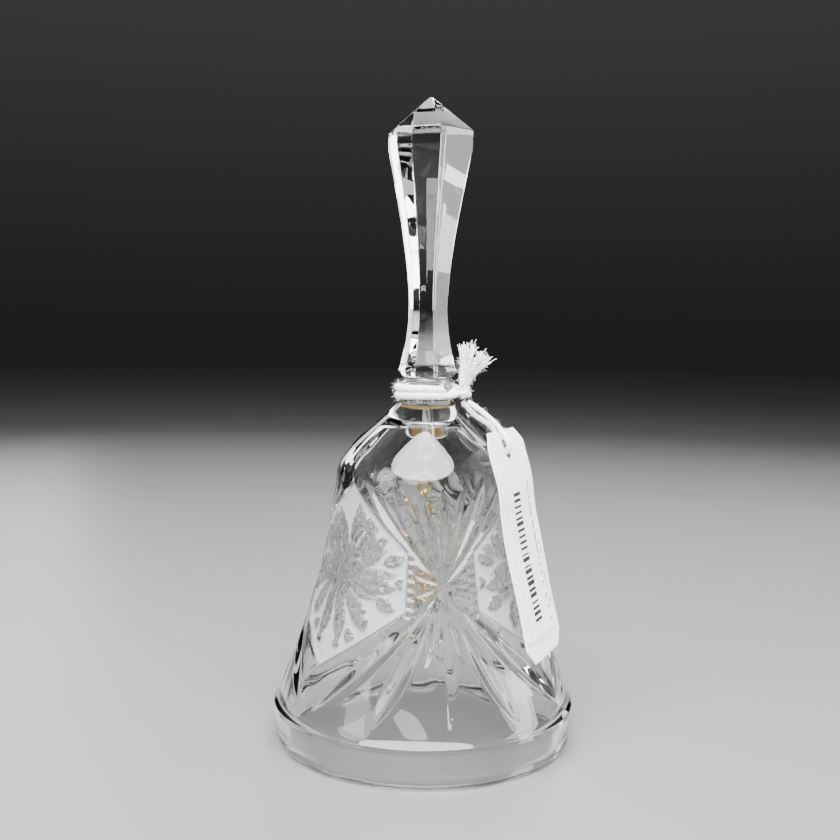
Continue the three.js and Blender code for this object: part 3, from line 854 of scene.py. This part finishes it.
def handle_profile():
    """(edge radius, height) rows from the bonding face to just under the tip."""
    foot = HANDLE_BASE + 1.6
    shoulder = HANDLE_BASE + HANDLE_LENGTH
    waist = foot + 0.27 * (shoulder - foot)
    cheek = shoulder - 4.5
    lower = ((HANDLE_FOOT, foot), (6.94, foot + 5), (HANDLE_WAIST, waist - 7), (HANDLE_WAIST, waist))
    upper = ((HANDLE_WAIST, waist), (HANDLE_WAIST, waist + 13), (9.7, cheek - 12), (HANDLE_SHOULDER, cheek))
    base = [(0.0, HANDLE_BASE), (COLLAR_RADIUS, HANDLE_BASE), (HANDLE_FOOT, foot), lower[1]]
    start = rounded(base, [0.25, 0.4], 4)[1:-1]
    low = respaced(bezier(lower, np.linspace(0.06, 1, 200)), 18)
    high = respaced(bezier(upper, np.linspace(0, 0.985, 300)), 44)[1:]
    head = [high[-1], (HANDLE_SHOULDER, cheek), (HANDLE_SHOULDER, shoulder), (1.0, HANDLE_TOP - 0.5)]
    end = rounded(head, [0.35, 0.4], 4)[1:-1]
    tip = [(9.0, shoulder + 2.46), (5.0, shoulder + 5.63), (1.4, 176.15), (0.7, 176.7)]
    return np.vstack([start, low, high, end, tip])


def add_handle():
    profile = handle_profile()
    corners = np.clip(profile[:, 0] * 0.045, 0.03, 0.42)
    a = math.radians(HANDLE_TURN)
    rings = []
    for (radius, height), corner in zip(profile, corners):
        # one corner of the hexagon is turned to the azimuth of the handle's edge
        ring = hexagon_ring(radius, corner)
        x = ring[:, 0] * math.sin(a) + ring[:, 1] * math.cos(a)
        y = -ring[:, 0] * math.cos(a) + ring[:, 1] * math.sin(a)
        rings.append(np.stack([x, y, np.full(len(x), height)], axis=1))
    count = len(rings[0])
    top = len(rings) * count
    faces = grid_faces(len(rings), count, True) + fan(0, count, top, True)
    faces += fan(top - count, count, top + 1)
    points = np.vstack(rings + [[[0, 0, HANDLE_BASE], [0, 0, HANDLE_TOP]]])
    piece = make_piece("handle_glass", points, faces, HANDLE_GLASS, "bell", ["handle"])
    piece.data.set_sharp_from_angle(angle=math.radians(24))


def add_bond():
    """The thin film of adhesive, drawn in a little in places round its edge."""
    parts = Parts()
    low, high = COLLAR_TOP + 0.1, HANDLE_BASE - 0.1
    edge = [(6.2, low), (6.75, low + 0.06), (6.9, low + 0.2), (6.75, high - 0.06), (6.2, high)]
    turned(parts, [(0, low), *edge, (0, high)], 64)
    points, faces = parts.all()
    a = np.arctan2(points[:, 1], points[:, 0])
    shrink = 1 + 0.015 * np.sin(5 * a) + 0.01 * np.sin(11 * a + 1)
    points[:, :2] *= np.minimum(shrink, 1.0)[:, None]
    make_piece("bond_line", points, faces, BOND, "bell", ["handle_bond"])


# ---------------------------------------------------------------- clapper
def add_plug():
    """The cement plug, with a hole for the eye's stem and a slightly uneven lower face."""
    parts = Parts()
    top, bottom, stem_top = PLUG_TOP, PLUG_BOTTOM, PLUG_TOP - 1.0
    outline = rounded([
        (BORE, stem_top), (BORE, bottom), (PLUG_RADIUS - 1, bottom), (PLUG_RADIUS, bottom + 1),
        (PLUG_RADIUS, top - 0.6), (PLUG_RADIUS - 0.6, top), (0.8, top),
    ], [0.15, 0.5, 0.5, 0.3, 0.3], 5)
    turned(parts, np.vstack([[(0.0, stem_top)], outline, [(0.0, top)]]), 72)
    points, faces = parts.all()
    radius = np.hypot(points[:, 0], points[:, 1])
    a = np.arctan2(points[:, 1], points[:, 0])
    sag = 0.12 * np.sin(3 * a + 1) + 0.08 * np.sin(7 * a)
    dip = smoothstep(3.0, 5.0, radius) * (points[:, 2] < bottom + 1.5)
    points[:, 2] += np.abs(sag) * dip
    make_piece("cement_plug", points, faces, PLUG, "bell", ["hanger_plug"])


def ring_line(radius, straight, count, centre, plane):
    """A closed loop, pulled apart by a straight length, standing in the XZ or YZ plane."""
    a = np.linspace(0, 2 * np.pi, count, endpoint=False) + np.pi / count
    across = radius * np.cos(a)
    up = radius * np.sin(a)
    up = up + np.sign(up) * straight / 2
    zero = np.zeros_like(a)
    x, y = (across, zero) if plane == "XZ" else (zero, across)
    return np.stack([x, y, up + centre], axis=1)


def loop_tube(parts, line):
    """A closed loop of wire along a flat line."""
    centre = line.mean(axis=0)
    ahead = unit(np.roll(line, -1, axis=0) - np.roll(line, 1, axis=0))
    square = unit(np.cross(line[0] - centre, line[len(line) // 4] - centre))
    v = np.broadcast_to(square, line.shape)
    tube(parts, line, WIRE / 2, 12, True, (np.cross(v, ahead), v))


def straight_wire(parts, low, high, steps):
    """A length of wire that stands on Z."""
    zero = np.zeros(steps)
    tube(parts, np.stack([zero, zero, np.linspace(low, high, steps)], axis=1), WIRE / 2, 14)


def wire_piece(name, parts, body, nodes):
    points, faces = parts.all()
    make_piece(name, points, faces, BRASS, body, nodes)


def add_chain():
    eye = Parts()
    loop_tube(eye, ring_line(EYE_RADIUS, 0.0, 56, EYE_HEIGHT, "XZ"))
    straight_wire(eye, 81.9, 85.9, 8)
    low, high = 81.95, 82.65
    ferrule = rounded([(0.46, low), (0.78, 82.1), (0.78, 82.5), (0.46, high)], [0.1, 0.1], 4)
    turned(eye, np.vstack([[(0.0, low)], ferrule, [(0.0, high)]]), 20)
    wire_piece("hanging_eye", eye, "bell", ["hanger_eye"])
    for i in range(LINKS):
        link = Parts()
        plane = "YZ" if i % 2 == 0 else "XZ"
        loop_tube(link, ring_line(LINK_RADIUS, LINK_STRAIGHT, 56, FIRST_LINK_HEIGHT - LINK_PITCH * i, plane))
        wire_piece(f"brass_link_{i + 1}", link, f"link_{i + 1}", [f"chain_link_{i + 1}"])


def add_pin():
    pin = Parts()
    loop_tube(pin, ring_line(1.5, 0.0, 48, PIN_EYE_HEIGHT, "YZ"))
    straight_wire(pin, 23.4, 40.4, 12)
    a = np.linspace(-np.pi / 2, np.pi / 2, 17)
    head = np.stack([PIN_HEAD_RADIUS * np.cos(a), PIN_HEAD_HEIGHT + PIN_HEAD_RADIUS * np.sin(a)], axis=1)
    head[[0, -1], 0] = 0
    turned(pin, head, 28)
    wire_piece("clapper_wire", pin, "clapper", ["clapper_pin"])


def add_cap(name, wide, up, node_name):
    """A petal cap: a stamped cup with eight flutes, its rolled lip at the height called wide."""
    cap = Parts()
    lip = [(BORE, 0.0), (2.2, 0.0), (2.55, 0.12), (2.6, 0.32), (2.3, 0.5)]
    shape = lip + [(1.9, 0.75), (1.5, 1.05), (1.2, 1.2), (BORE, 1.2)]
    profile = np.array([(r, wide + up * h) for r, h in shape])
    if up < 0:
        profile = profile[::-1]
    turned(cap, profile, 64)
    points, faces = cap.all()
    a = np.arctan2(points[:, 1], points[:, 0])
    radius = np.hypot(points[:, 0], points[:, 1])
    flute = 1 - 0.07 * (0.5 - 0.5 * np.cos(8 * a)) * smoothstep(1.3, 2.3, radius)
    points[:, :2] *= flute[:, None]
    make_piece(name, points, faces, BRASS, "clapper", [node_name])


def add_bead():
    """A ten-sided cut bead with a row of triangular facets above and below its girdle."""
    half = BEAD_HALF
    lower = [
        (BORE, -half, 0), (2.73, -half, 0), (4.5, -half * 0.8, 0.5),
        (5.72, -half * 0.5, 0), (6.45, -0.5, 0.5),
    ]
    rings = lower + [(radius, -up, shift) for radius, up, shift in lower[::-1]]
    sides = BEAD_SIDES
    points = []
    for radius, up, shift in rings:
        a = (np.arange(sides) + shift) * 360.0 / sides
        points.append(polar(a, radius, BEAD_MIDDLE + up))
    points = np.vstack(points)
    faces = []
    for r in range(len(rings) - 1):
        low, high = r * sides, (r + 1) * sides
        step = rings[r + 1][2] - rings[r][2]
        for c in range(sides):
            n = (c + 1) % sides
            if step == 0:
                faces.append((low + c, low + n, high + n, high + c))
            elif step > 0:
                faces.append((low + c, low + n, high + c))
                faces.append((low + n, high + n, high + c))
            else:
                faces.append((low + c, low + n, high + n))
                faces.append((low + c, high + n, high + c))
    faces += bridge((len(rings) - 1) * sides, 0, sides)
    piece = make_piece(
        "cut_bead", points, faces, HANDLE_GLASS, "clapper", ["clapper_bead"], False
    )
    bevel = piece.modifiers.new("edges", "BEVEL")
    bevel.width = 0.00012
    bevel.segments = 2
    bevel.limit_method = "ANGLE"
    bevel.angle_limit = math.radians(8)


# ---------------------------------------------------------------- sticker
def on_crown(share, a, out):
    """A place on or above the sticker's disc, by share of its radius and angle round it."""
    _, normal = surface(STICKER_AZIMUTH, STICKER_HEIGHT)
    rise = math.hypot(normal[0], normal[1])
    height = STICKER_HEIGHT + share * STICKER_RADIUS * np.sin(a) * rise
    across = share * STICKER_RADIUS * np.cos(a)
    place, facing = surface(STICKER_AZIMUTH + np.degrees(across / outline_radius(height)), height)
    return place + facing * out[..., None]


def add_sticker():
    """A foil disc pressed on the crown, embossed with rings and a rayed border."""
    rings, around = 28, 96
    air, foil = 0.15, 0.06
    share = np.linspace(0, 1, rings + 1)[1:, None]
    a = np.linspace(0, 2 * np.pi, around, endpoint=False)[None, :]
    emboss = 0.06 * np.exp(-((share - 0.88) / 0.03) ** 2) + 0.05 * np.exp(-((share - 0.62) / 0.02) ** 2)
    rays = (0.5 + 0.5 * np.cos(36 * a)) * smoothstep(0.64, 0.68, share) * (1 - smoothstep(0.82, 0.86, share))
    bloom = (0.5 + 0.5 * np.cos(6 * a)) * smoothstep(0.08, 0.2, share) * (1 - smoothstep(0.4, 0.55, share))
    lip = 1 - smoothstep(0.97, 1.0, share) * 0.8
    out = air + (foil + emboss + 0.05 * rays + 0.07 * bloom) * lip + 0 * a
    zero = np.zeros((1, 1))
    count = rings * around
    points = np.vstack([
        on_crown(share, a, out).reshape(-1, 3), on_crown(share, a, np.full_like(out, air)).reshape(-1, 3),
        on_crown(zero, zero, zero + air + foil)[0], on_crown(zero, zero, zero + air)[0],
    ])
    faces = grid_faces(rings, around, True)
    faces += [f[::-1] for f in grid_faces(rings, around, True, count)]
    faces += fan(0, around, 2 * count) + fan(count, around, 2 * count + 1, True)
    faces += bridge(count - around, 2 * count - around, around)
    piece = make_piece("foil_sticker", points, faces, FOIL, "bell", ["gold_sticker"])
    fix_normals(piece)


def fix_normals(piece):
    """Turns the faces of a closed mesh outwards."""
    work = bmesh.new()
    work.from_mesh(piece.data)
    bmesh.ops.recalc_face_normals(work, faces=work.faces)
    work.to_mesh(piece.data)
    work.free()


# ---------------------------------------------------------------- string
PLIES = 3


def strand(parts, line, radius, pitch, taper=None):
    """A string laid up from plies that wind round its centre line."""
    u, v = frames_along(line)
    run = run_along(line)
    thin = np.ones(len(line)) if taper is None else taper
    for k in range(PLIES):
        a = 2 * np.pi * (run / pitch + k / PLIES)
        shift = 0.47 * radius * thin
        ply = line + u * (np.cos(a) * shift)[:, None] + v * (np.sin(a) * shift)[:, None]
        uneven = 1 + 0.05 * np.sin(run * 2.3 + k * 2) + 0.03 * np.sin(run * 5.1 + k)
        tube(parts, ply, 0.54 * radius * thin * uneven, 7)


def fuzz(parts, line, radius, count, length, draw):
    """Stray fibres that stand off a string."""
    u, v = frames_along(line)
    ahead = directions(line)
    for _ in range(count):
        i = draw.integers(1, len(line) - 1)
        a = draw.uniform(0, 2 * np.pi)
        out = u[i] * math.cos(a) + v[i] * math.sin(a)
        lean = ahead[i] * draw.uniform(-1.2, 1.2) + np.cross(ahead[i], out) * draw.uniform(-0.9, 0.9)
        reach = length * draw.uniform(0.4, 1.0)
        t = np.linspace(0, 1, 6)[:, None]
        curl = draw.normal(0, 0.25, 3) * reach
        fibre = line[i] + out * radius * 0.7 + (out * 0.75 + lean * 0.6) * reach * t + curl * t**2
        tube(parts, fibre, np.linspace(0.05, 0.02, 6), 4)


def string_piece(name, parts, body, nodes):
    points, faces = parts.all()
    return make_piece(name, points, faces, COTTON, body, nodes)


def add_neck_string():
    begin, end = KNOT_AZIMUTH + 40, KNOT_AZIMUTH + 720 - 34
    azimuth = np.linspace(begin, end, 620)
    climb = smoothstep(KNOT_AZIMUTH + 330, KNOT_AZIMUTH + 394, azimuth)
    a = np.radians(azimuth)
    waver = 0.12 * np.sin(a * 2.3) + 0.06 * np.sin(a * 5.1 + 1)
    height = LOWER_TURN + (UPPER_TURN - LOWER_TURN) * climb + waver
    line = polar(azimuth, STRING_RING + 0.05 * np.sin(a * 3), height)
    parts = Parts()
    strand(parts, line, 1.08, 3.6)
    fuzz(parts, line, 1.05, 560, 1.8, np.random.default_rng(3))
    string_piece("neck_twine", parts, "bell", ["neck_string"])


def add_knot():
    """A tight overhand knot: the string crosses itself three times round a small loop."""
    t = np.linspace(0, 2 * np.pi, 220)
    x = 0.5 * (np.sin(t) + 2 * np.sin(2 * t))
    y = 0.5 * (np.cos(t) - 2 * np.cos(2 * t))
    z = -0.62 * np.sin(3 * t)
    centre = polar(KNOT_AZIMUTH, KNOT_OUT, KNOT_HEIGHT)
    out = polar(KNOT_AZIMUTH, 1.0, 0.0)
    side = polar(KNOT_AZIMUTH, 0.0, 0.0, 1.0)
    up = np.array([0.0, 0.0, 1.0])
    tilt = unit(out + 0.35 * up)
    rise = np.cross(side, tilt)
    line = centre + 0.92 * (x[:, None] * side + y[:, None] * rise + z[:, None] * tilt)
    parts = Parts()
    strand(parts, line, 0.95, 3.0)
    core = centre + np.linspace(-0.9, 0.9, 6)[:, None] * side
    strand(parts, respaced(core, 20), 0.9, 3.0)
    inner = ((8.2, 98.0, 4.9), (9.0, 98.1, 3.6), (10.0, 97.9, 2.2), (10.9, 97.6, 0.8))
    outer = ((8.2, 96.3, -4.9), (9.1, 96.5, -3.6), (10.1, 96.9, -2.2), (11.0, 97.3, -0.8))
    for route in (inner, outer):
        # from the neck string's end into the knot, as (radius, height, sideways)
        places = np.array([polar(KNOT_AZIMUTH, *place) for place in route])
        strand(parts, catmull(places, 60), 0.85, 3.4)
    fuzz(parts, line, 0.95, 90, 1.4, np.random.default_rng(5))
    string_piece("twine_knot", parts, "bell", ["string_knot"])


FIBRES = 60
SOUND = 76  # points of a string end's line that are still laid up
SWELLING = 14  # the last of them, where the string opens out


def add_tails():
    """Four string ends that stand out of the knot and fray into loose fibres."""
    tips = ((-2.6, 9.8, 0.6), (-0.9, 9.4, 2.3), (0.9, 7.6, 4.0), (2.6, 6.4, 5.4))
    rise = 99.75
    taper = np.concatenate([np.linspace(1.0, 0.95, SOUND - SWELLING), np.linspace(0.95, 1.2, SWELLING)])
    for i, (sideways, up, out) in enumerate(tips):
        draw = np.random.default_rng(11 + i)
        t = np.array([0, 0.3, 0.65, 1.0])
        apart = 1.15 * (i - 1.5) * (1 - t) + sideways * t
        base = polar(KNOT_AZIMUTH, KNOT_OUT + out * t**1.3, rise + up * t, apart)
        root = polar(KNOT_AZIMUTH, KNOT_OUT - 0.1, KNOT_HEIGHT + 0.8, 0.45 * (i - 1.5))
        line = catmull(np.vstack([root, base]), 90)
        parts = Parts()
        strand(parts, line[:SOUND], 0.92, 3.1, taper)
        tip = line[-1] - line[SOUND - 10]
        reach = np.linalg.norm(tip)
        s = np.linspace(0, 1, 9)[:, None]
        for _ in range(FIBRES):
            start = line[SOUND - 8] + draw.normal(0, 0.34, 3)
            spread = draw.normal(0, 0.26, 3) * reach
            curl = draw.normal(0, 0.08, 3) * reach
            share = draw.uniform(0.6, 1.15)
            fibre = start + tip * s * share + spread * s**1.6 + curl * np.sin(s * 5)
            tube(parts, fibre, np.linspace(0.13, 0.06, 9), 5)
        fuzz(parts, line[:SOUND], 0.9, 90, 1.7, draw)
        string_piece(f"frayed_end_{i + 1}", parts, "bell", [f"string_tail_{i + 1}"])


# ---------------------------------------------------------------- tag
def tag_middle_line():
    above = np.array([27.2, 47.5, 64.0, 73.5, SHOULDER_HEIGHT + 0.286 * RISE, SHOULDER_HEIGHT + 0.619 * RISE])
    air = np.array([0.6, 1.7, 1.2, 1.2, 1.9, 5.3])
    points = np.stack([outline_radius(above) + air, above], axis=1)
    return catmull(points, 400)


TAG_LINE = tag_middle_line()
TAG_LENGTH = float(leg_lengths(TAG_LINE).sum())
TAG_SLOPE = directions(TAG_LINE)
HOLE_UP = TAG_LENGTH - 5.2


def on_tag(up, across, out):
    """A place on the tag: up from its lower end, across, and out of its inner face."""
    run = np.linspace(0, TAG_LENGTH, len(TAG_LINE))
    up = np.asarray(up, float)
    radius, height = (np.interp(up, run, TAG_LINE[:, k]) for k in (0, 1))
    along_r, along_z = (np.interp(up, run, TAG_SLOPE[:, k]) for k in (0, 1))
    return polar(KNOT_AZIMUTH, radius + along_z * out, height - along_r * out, across)


def tag_half_width(up):
    """Half the tag's width, with its clipped corners softened."""
    near = np.minimum(up, TAG_LENGTH - up)
    clip = TAG_WIDTH / 2 - TAG_CLIP + near
    soft = 0.35
    h = np.clip(0.5 + 0.5 * (TAG_WIDTH / 2 - clip) / soft, 0, 1)
    return clip * h + TAG_WIDTH / 2 * (1 - h) - soft * h * (1 - h)


BLOCK = 4.4  # half the square of finer faces round the hole
BLOCK_CELLS = 8


def sheet_with_hole():
    """The tag in its own plane: (up, across) points and faces, with a round hole."""
    rows_low = np.concatenate([[0, 0.12], np.linspace(0, HOLE_UP - BLOCK, 74)[1:-1]])
    rows_block = np.linspace(HOLE_UP - BLOCK, HOLE_UP + BLOCK, BLOCK_CELLS + 1)
    rows = np.concatenate([rows_low, rows_block, [TAG_LENGTH - 0.5, TAG_LENGTH - 0.12, TAG_LENGTH]])
    side_share = np.array([0, 0.03, 0.2, 0.4, 0.6, 0.8, 1.0])
    middle = np.linspace(-BLOCK, BLOCK, BLOCK_CELLS + 1)[1:-1]
    grid = []
    for up in rows:
        half = float(tag_half_width(up))
        left = -half + (half - BLOCK) * side_share
        grid.append(np.concatenate([left, middle, BLOCK + (half - BLOCK) * (1 - side_share[::-1])]))
    first_row, first_column = len(rows_low), len(side_share) - 1
    index = {}
    points = []
    faces = []

    def vertex(up, across, key):
        if key not in index:
            index[key] = len(points)
            points.append((up, across))
        return index[key]

    for r in range(len(rows) - 1):
        for c in range(len(grid[0]) - 1):
            in_rows = first_row <= r < first_row + BLOCK_CELLS
            if in_rows and first_column <= c < first_column + BLOCK_CELLS:
                continue
            corners = ((r, c), (r, c + 1), (r + 1, c + 1), (r + 1, c))
            faces.append(tuple(vertex(rows[i], grid[i][j], (i, j)) for i, j in corners))
    # the square block round the hole, as rings from the square in to the circle
    last_row, last_column = first_row + BLOCK_CELLS, first_column + BLOCK_CELLS
    edges = (
        (first_row, first_column, 0, 1), (first_row, last_column, 1, 0),
        (last_row, last_column, 0, -1), (last_row, first_column, -1, 0),
    )
    border = [(r + k * dr, c + k * dc) for r, c, dr, dc in edges for k in range(BLOCK_CELLS)]
    previous = [vertex(rows[r], grid[r][c], (r, c)) for r, c in border]
    outer = np.array([points[i] for i in previous])
    circle = unit(outer - [HOLE_UP, 0.0]) * HOLE_RADIUS + [HOLE_UP, 0.0]
    for share in (0.35, 0.7, 0.94, 1.0):
        ring = outer * (1 - share) + circle * share
        here = [vertex(up, across, ("ring", share, k)) for k, (up, across) in enumerate(ring)]
        for k in range(len(border)):
            n = (k + 1) % len(border)
            faces.append((previous[k], previous[n], here[n], here[k]))
        previous = here
    return np.array(points), faces


def thick_sheet(name, flat, faces, inner, outer, material, node_name):
    """A sheet with thickness, both faces and every edge closed, with (up, across) kept as its UV."""
    up, across = flat[:, 0], flat[:, 1]
    front = tag_shape(up, across, outer)
    back = tag_shape(up, across, inner)
    count = len(flat)
    every = [tuple(f) for f in faces] + [tuple(i + count for i in f[::-1]) for f in faces]
    edges = {pair: True for f in faces for pair in zip(f, f[1:] + f[:1])}
    for a, b in edges:
        if (b, a) not in edges:
            every.append((b, a, a + count, b + count))
    points = np.vstack([front, back])
    piece = make_piece(name, points, every, material, "tag", [node_name])
    fix_normals(piece)
    mesh = piece.data
    uv = mesh.uv_layers.new(name="sheet")
    corner = np.empty(len(mesh.loops), np.int64)
    mesh.loops.foreach_get("vertex_index", corner)
    places = np.vstack([flat, flat])[corner % (2 * count)]
    values = np.stack([places[:, 0] / UV_SPAN, (places[:, 1] + TAG_WIDTH / 2) / UV_SPAN], axis=1)
    uv.data.foreach_set("uv", values.astype(np.float32).ravel())
    mesh.set_sharp_from_angle(angle=math.radians(40))
    return piece


def tag_shape(up, across, out):
    """The tag's bent plane with a faint warp, as card that has been handled has."""
    warp = 0.10 * np.sin(up * 0.21 + across * 0.11) * smoothstep(0, 10, up) * (1 - smoothstep(46, 56, up))
    curl = 0.9 * smoothstep(TAG_LENGTH - 9, TAG_LENGTH, up) * (np.abs(across) / 14) ** 2
    return on_tag(up, across, out + warp + curl)


def label_sheet():
    """The label in the tag's plane, with its corners rounded off."""
    low, high = LABEL_MARGIN + TAG_CLIP, HOLE_UP - HOLE_RADIUS - LABEL_MARGIN
    half = TAG_WIDTH / 2 - LABEL_MARGIN
    ups = np.linspace(low, high, 70)
    acrosses = np.linspace(-half, half, 24)
    flat = []
    for up in ups:
        round_off = max(0.0, 1.0 - min(up - low, high - up)) ** 2 * 0.9
        flat += [(up, across * (half - round_off) / half) for across in acrosses]
    return np.array(flat), grid_faces(len(ups), len(acrosses), False)


def add_tag():
    card = thick_sheet("paper_tag", *sheet_with_hole(), 0.0, TAG_THICKNESS, CARD, "tag_card")
    lift = TAG_THICKNESS + LABEL_GAP
    label = thick_sheet("paper_label", *label_sheet(), lift, lift + LABEL_THICKNESS, LABEL, "tag_label")
    return card, label


def cord_route():
    exit_place = polar(KNOT_AZIMUTH, KNOT_OUT + 1.5, KNOT_HEIGHT - 2.7, -0.9)
    back = polar(KNOT_AZIMUTH, KNOT_OUT - 0.9, KNOT_HEIGHT - 2.9, 0.9)
    over = on_tag(HOLE_UP + 2.6, -1.3, TAG_THICKNESS + 1.4)
    behind = on_tag(TAG_LENGTH, 1.6, -1.3) + polar(KNOT_AZIMUTH, -1.2, 1.4)
    raised = np.array([0.0, 0.0, 1.0])
    return np.array([
        exit_place,
        exit_place + (over - exit_place) * 0.32 + 0.8 * raised,
        exit_place + (over - exit_place) * 0.72 + 1.1 * raised,
        over,
        on_tag(HOLE_UP + 0.3, -0.8, TAG_THICKNESS + 1.15),
        on_tag(HOLE_UP - 1, 0, TAG_THICKNESS / 2),
        on_tag(HOLE_UP + 0.3, 0.8, -1.15),
        on_tag(HOLE_UP + 2.6, 1.3, -1.4),
        behind,
        back + (behind - back) * 0.42 - 0.6 * raised,
        back,
    ])


def add_cord():
    line = catmull(cord_route(), 260)
    parts = Parts()
    strand(parts, line, CORD_RADIUS * 1.1, 2.6)
    fuzz(parts, line, CORD_RADIUS, 200, 1.5, np.random.default_rng(9))
    cord = string_piece("tag_twine", parts, "tag", ["tag_cord"])


# ---------------------------------------------------------------- stage and light
def floor_material():
    """A plain matt floor whose colour darkens slowly away from the bell: a painted pool of light round it."""
    material, graph = new_material("floor_matte", Roughness=0.42)
    away = graph.add("VectorMath")
    away.operation = "LENGTH"
    graph.connect(away.inputs[0], graph.place())
    # painted light falloff: the floor colour is lightest near the bell and darkens with distance from it
    painted_falloff = graph.remap(away.outputs["Value"], 0.10, 0.9, 0.0, 1.0)
    mottle = graph.times(graph.math("SUBTRACT", graph.noise(9.0, 5.0, 0.6), 0.5), 0.08)
    stops = (0.0, (0.165, 0.165, 0.165)), (0.4, (0.14, 0.14, 0.141)), (1.0, (0.05, 0.05, 0.051))
    graph.shade(Base_Color=graph.ramp(graph.math("ADD", painted_falloff, mottle), *stops))
    graph.bump(graph.noise(1200.0, 2.0), 0.05, 0.0001)
    return material


def add_floor():
    parts = Parts()
    turned(parts, [(radius, -0.05) for radius in (0.0, 40, 120, 300, 700, 1400, 2600)], 96)
    points, faces = parts.all()
    mesh = bpy.data.meshes.new("floor")
    mesh.from_pydata((points * MM).tolist(), [], faces)
    mesh.materials.append(floor_material())
    mesh.validate()
    floor = bpy.data.objects.new("floor", mesh)
    scene.collection.objects.link(floor)


LIGHTS = (
    # name, place, height of the point it faces, width, watts, and height where it is not a disc
    ("key_above", (-0.05, -0.42, 0.72), 0.08, 1.0, 58.0, None),
    ("front_left", (-0.80, -0.55, 0.60), 0.09, 0.4, 4.5, 0.6),
    ("right_side", (0.90, -0.08, 0.34), 0.10, 0.36, 8.0, 0.8),
    ("left_strip", (-0.38, 0.72, 0.44), 0.11, 0.14, 1.4, 0.7),
    ("right_strip", (0.55, 0.52, 0.44), 0.11, 0.12, 2.6, 0.7),
    ("back_above", (0.10, 0.60, 0.80), 0.08, 0.35, 9.0, None),
)


def add_area(name, place, aim_height, width, power, height):
    data = bpy.data.lights.new(name, "AREA")
    data.energy = power
    data.size = width
    data.shape = "RECTANGLE" if height else "DISK"
    if height:
        data.size_y = height
    light = bpy.data.objects.new(name, data)
    scene.collection.objects.link(light)
    light.location = place
    light.visible_camera = False
    aim = Vector((0.0, 0.0, aim_height)) - Vector(place)
    light.rotation_mode = "QUATERNION"
    light.rotation_quaternion = aim.to_track_quat("-Z", "Y")


def add_world():
    world = bpy.data.worlds.new("studio")
    scene.world = world
    world.use_nodes = True
    graph = Graph(world.node_tree, world.node_tree.nodes["Background"])
    split = graph.add("SeparateXYZ", Vector=graph.add("TexCoord").outputs["Generated"])
    graph.shade(Strength=1.0, Color=graph.ramp(
        split.outputs["Z"], (0.0, (0.017, 0.017, 0.018)), (0.12, (0.028, 0.028, 0.029)),
        (0.4, (0.062, 0.062, 0.063)), (1.0, (0.07, 0.07, 0.07)),
    ))


def add_stage():
    add_floor()
    add_world()
    for light in LIGHTS:
        add_area(*light)


tag_card_piece, tag_label_piece = add_tag()
add_cord()
add_bowl()
add_handle()
add_bond()
add_plug()
add_chain()
add_pin()
add_cap("upper_petal_cap", UPPER_CAP_HEIGHT, 1, "clapper_upper_cap")
add_cap("lower_petal_cap", LOWER_CAP_HEIGHT, -1, "clapper_lower_cap")
add_bead()
add_sticker()
add_neck_string()
add_knot()
add_tails()
add_stage()
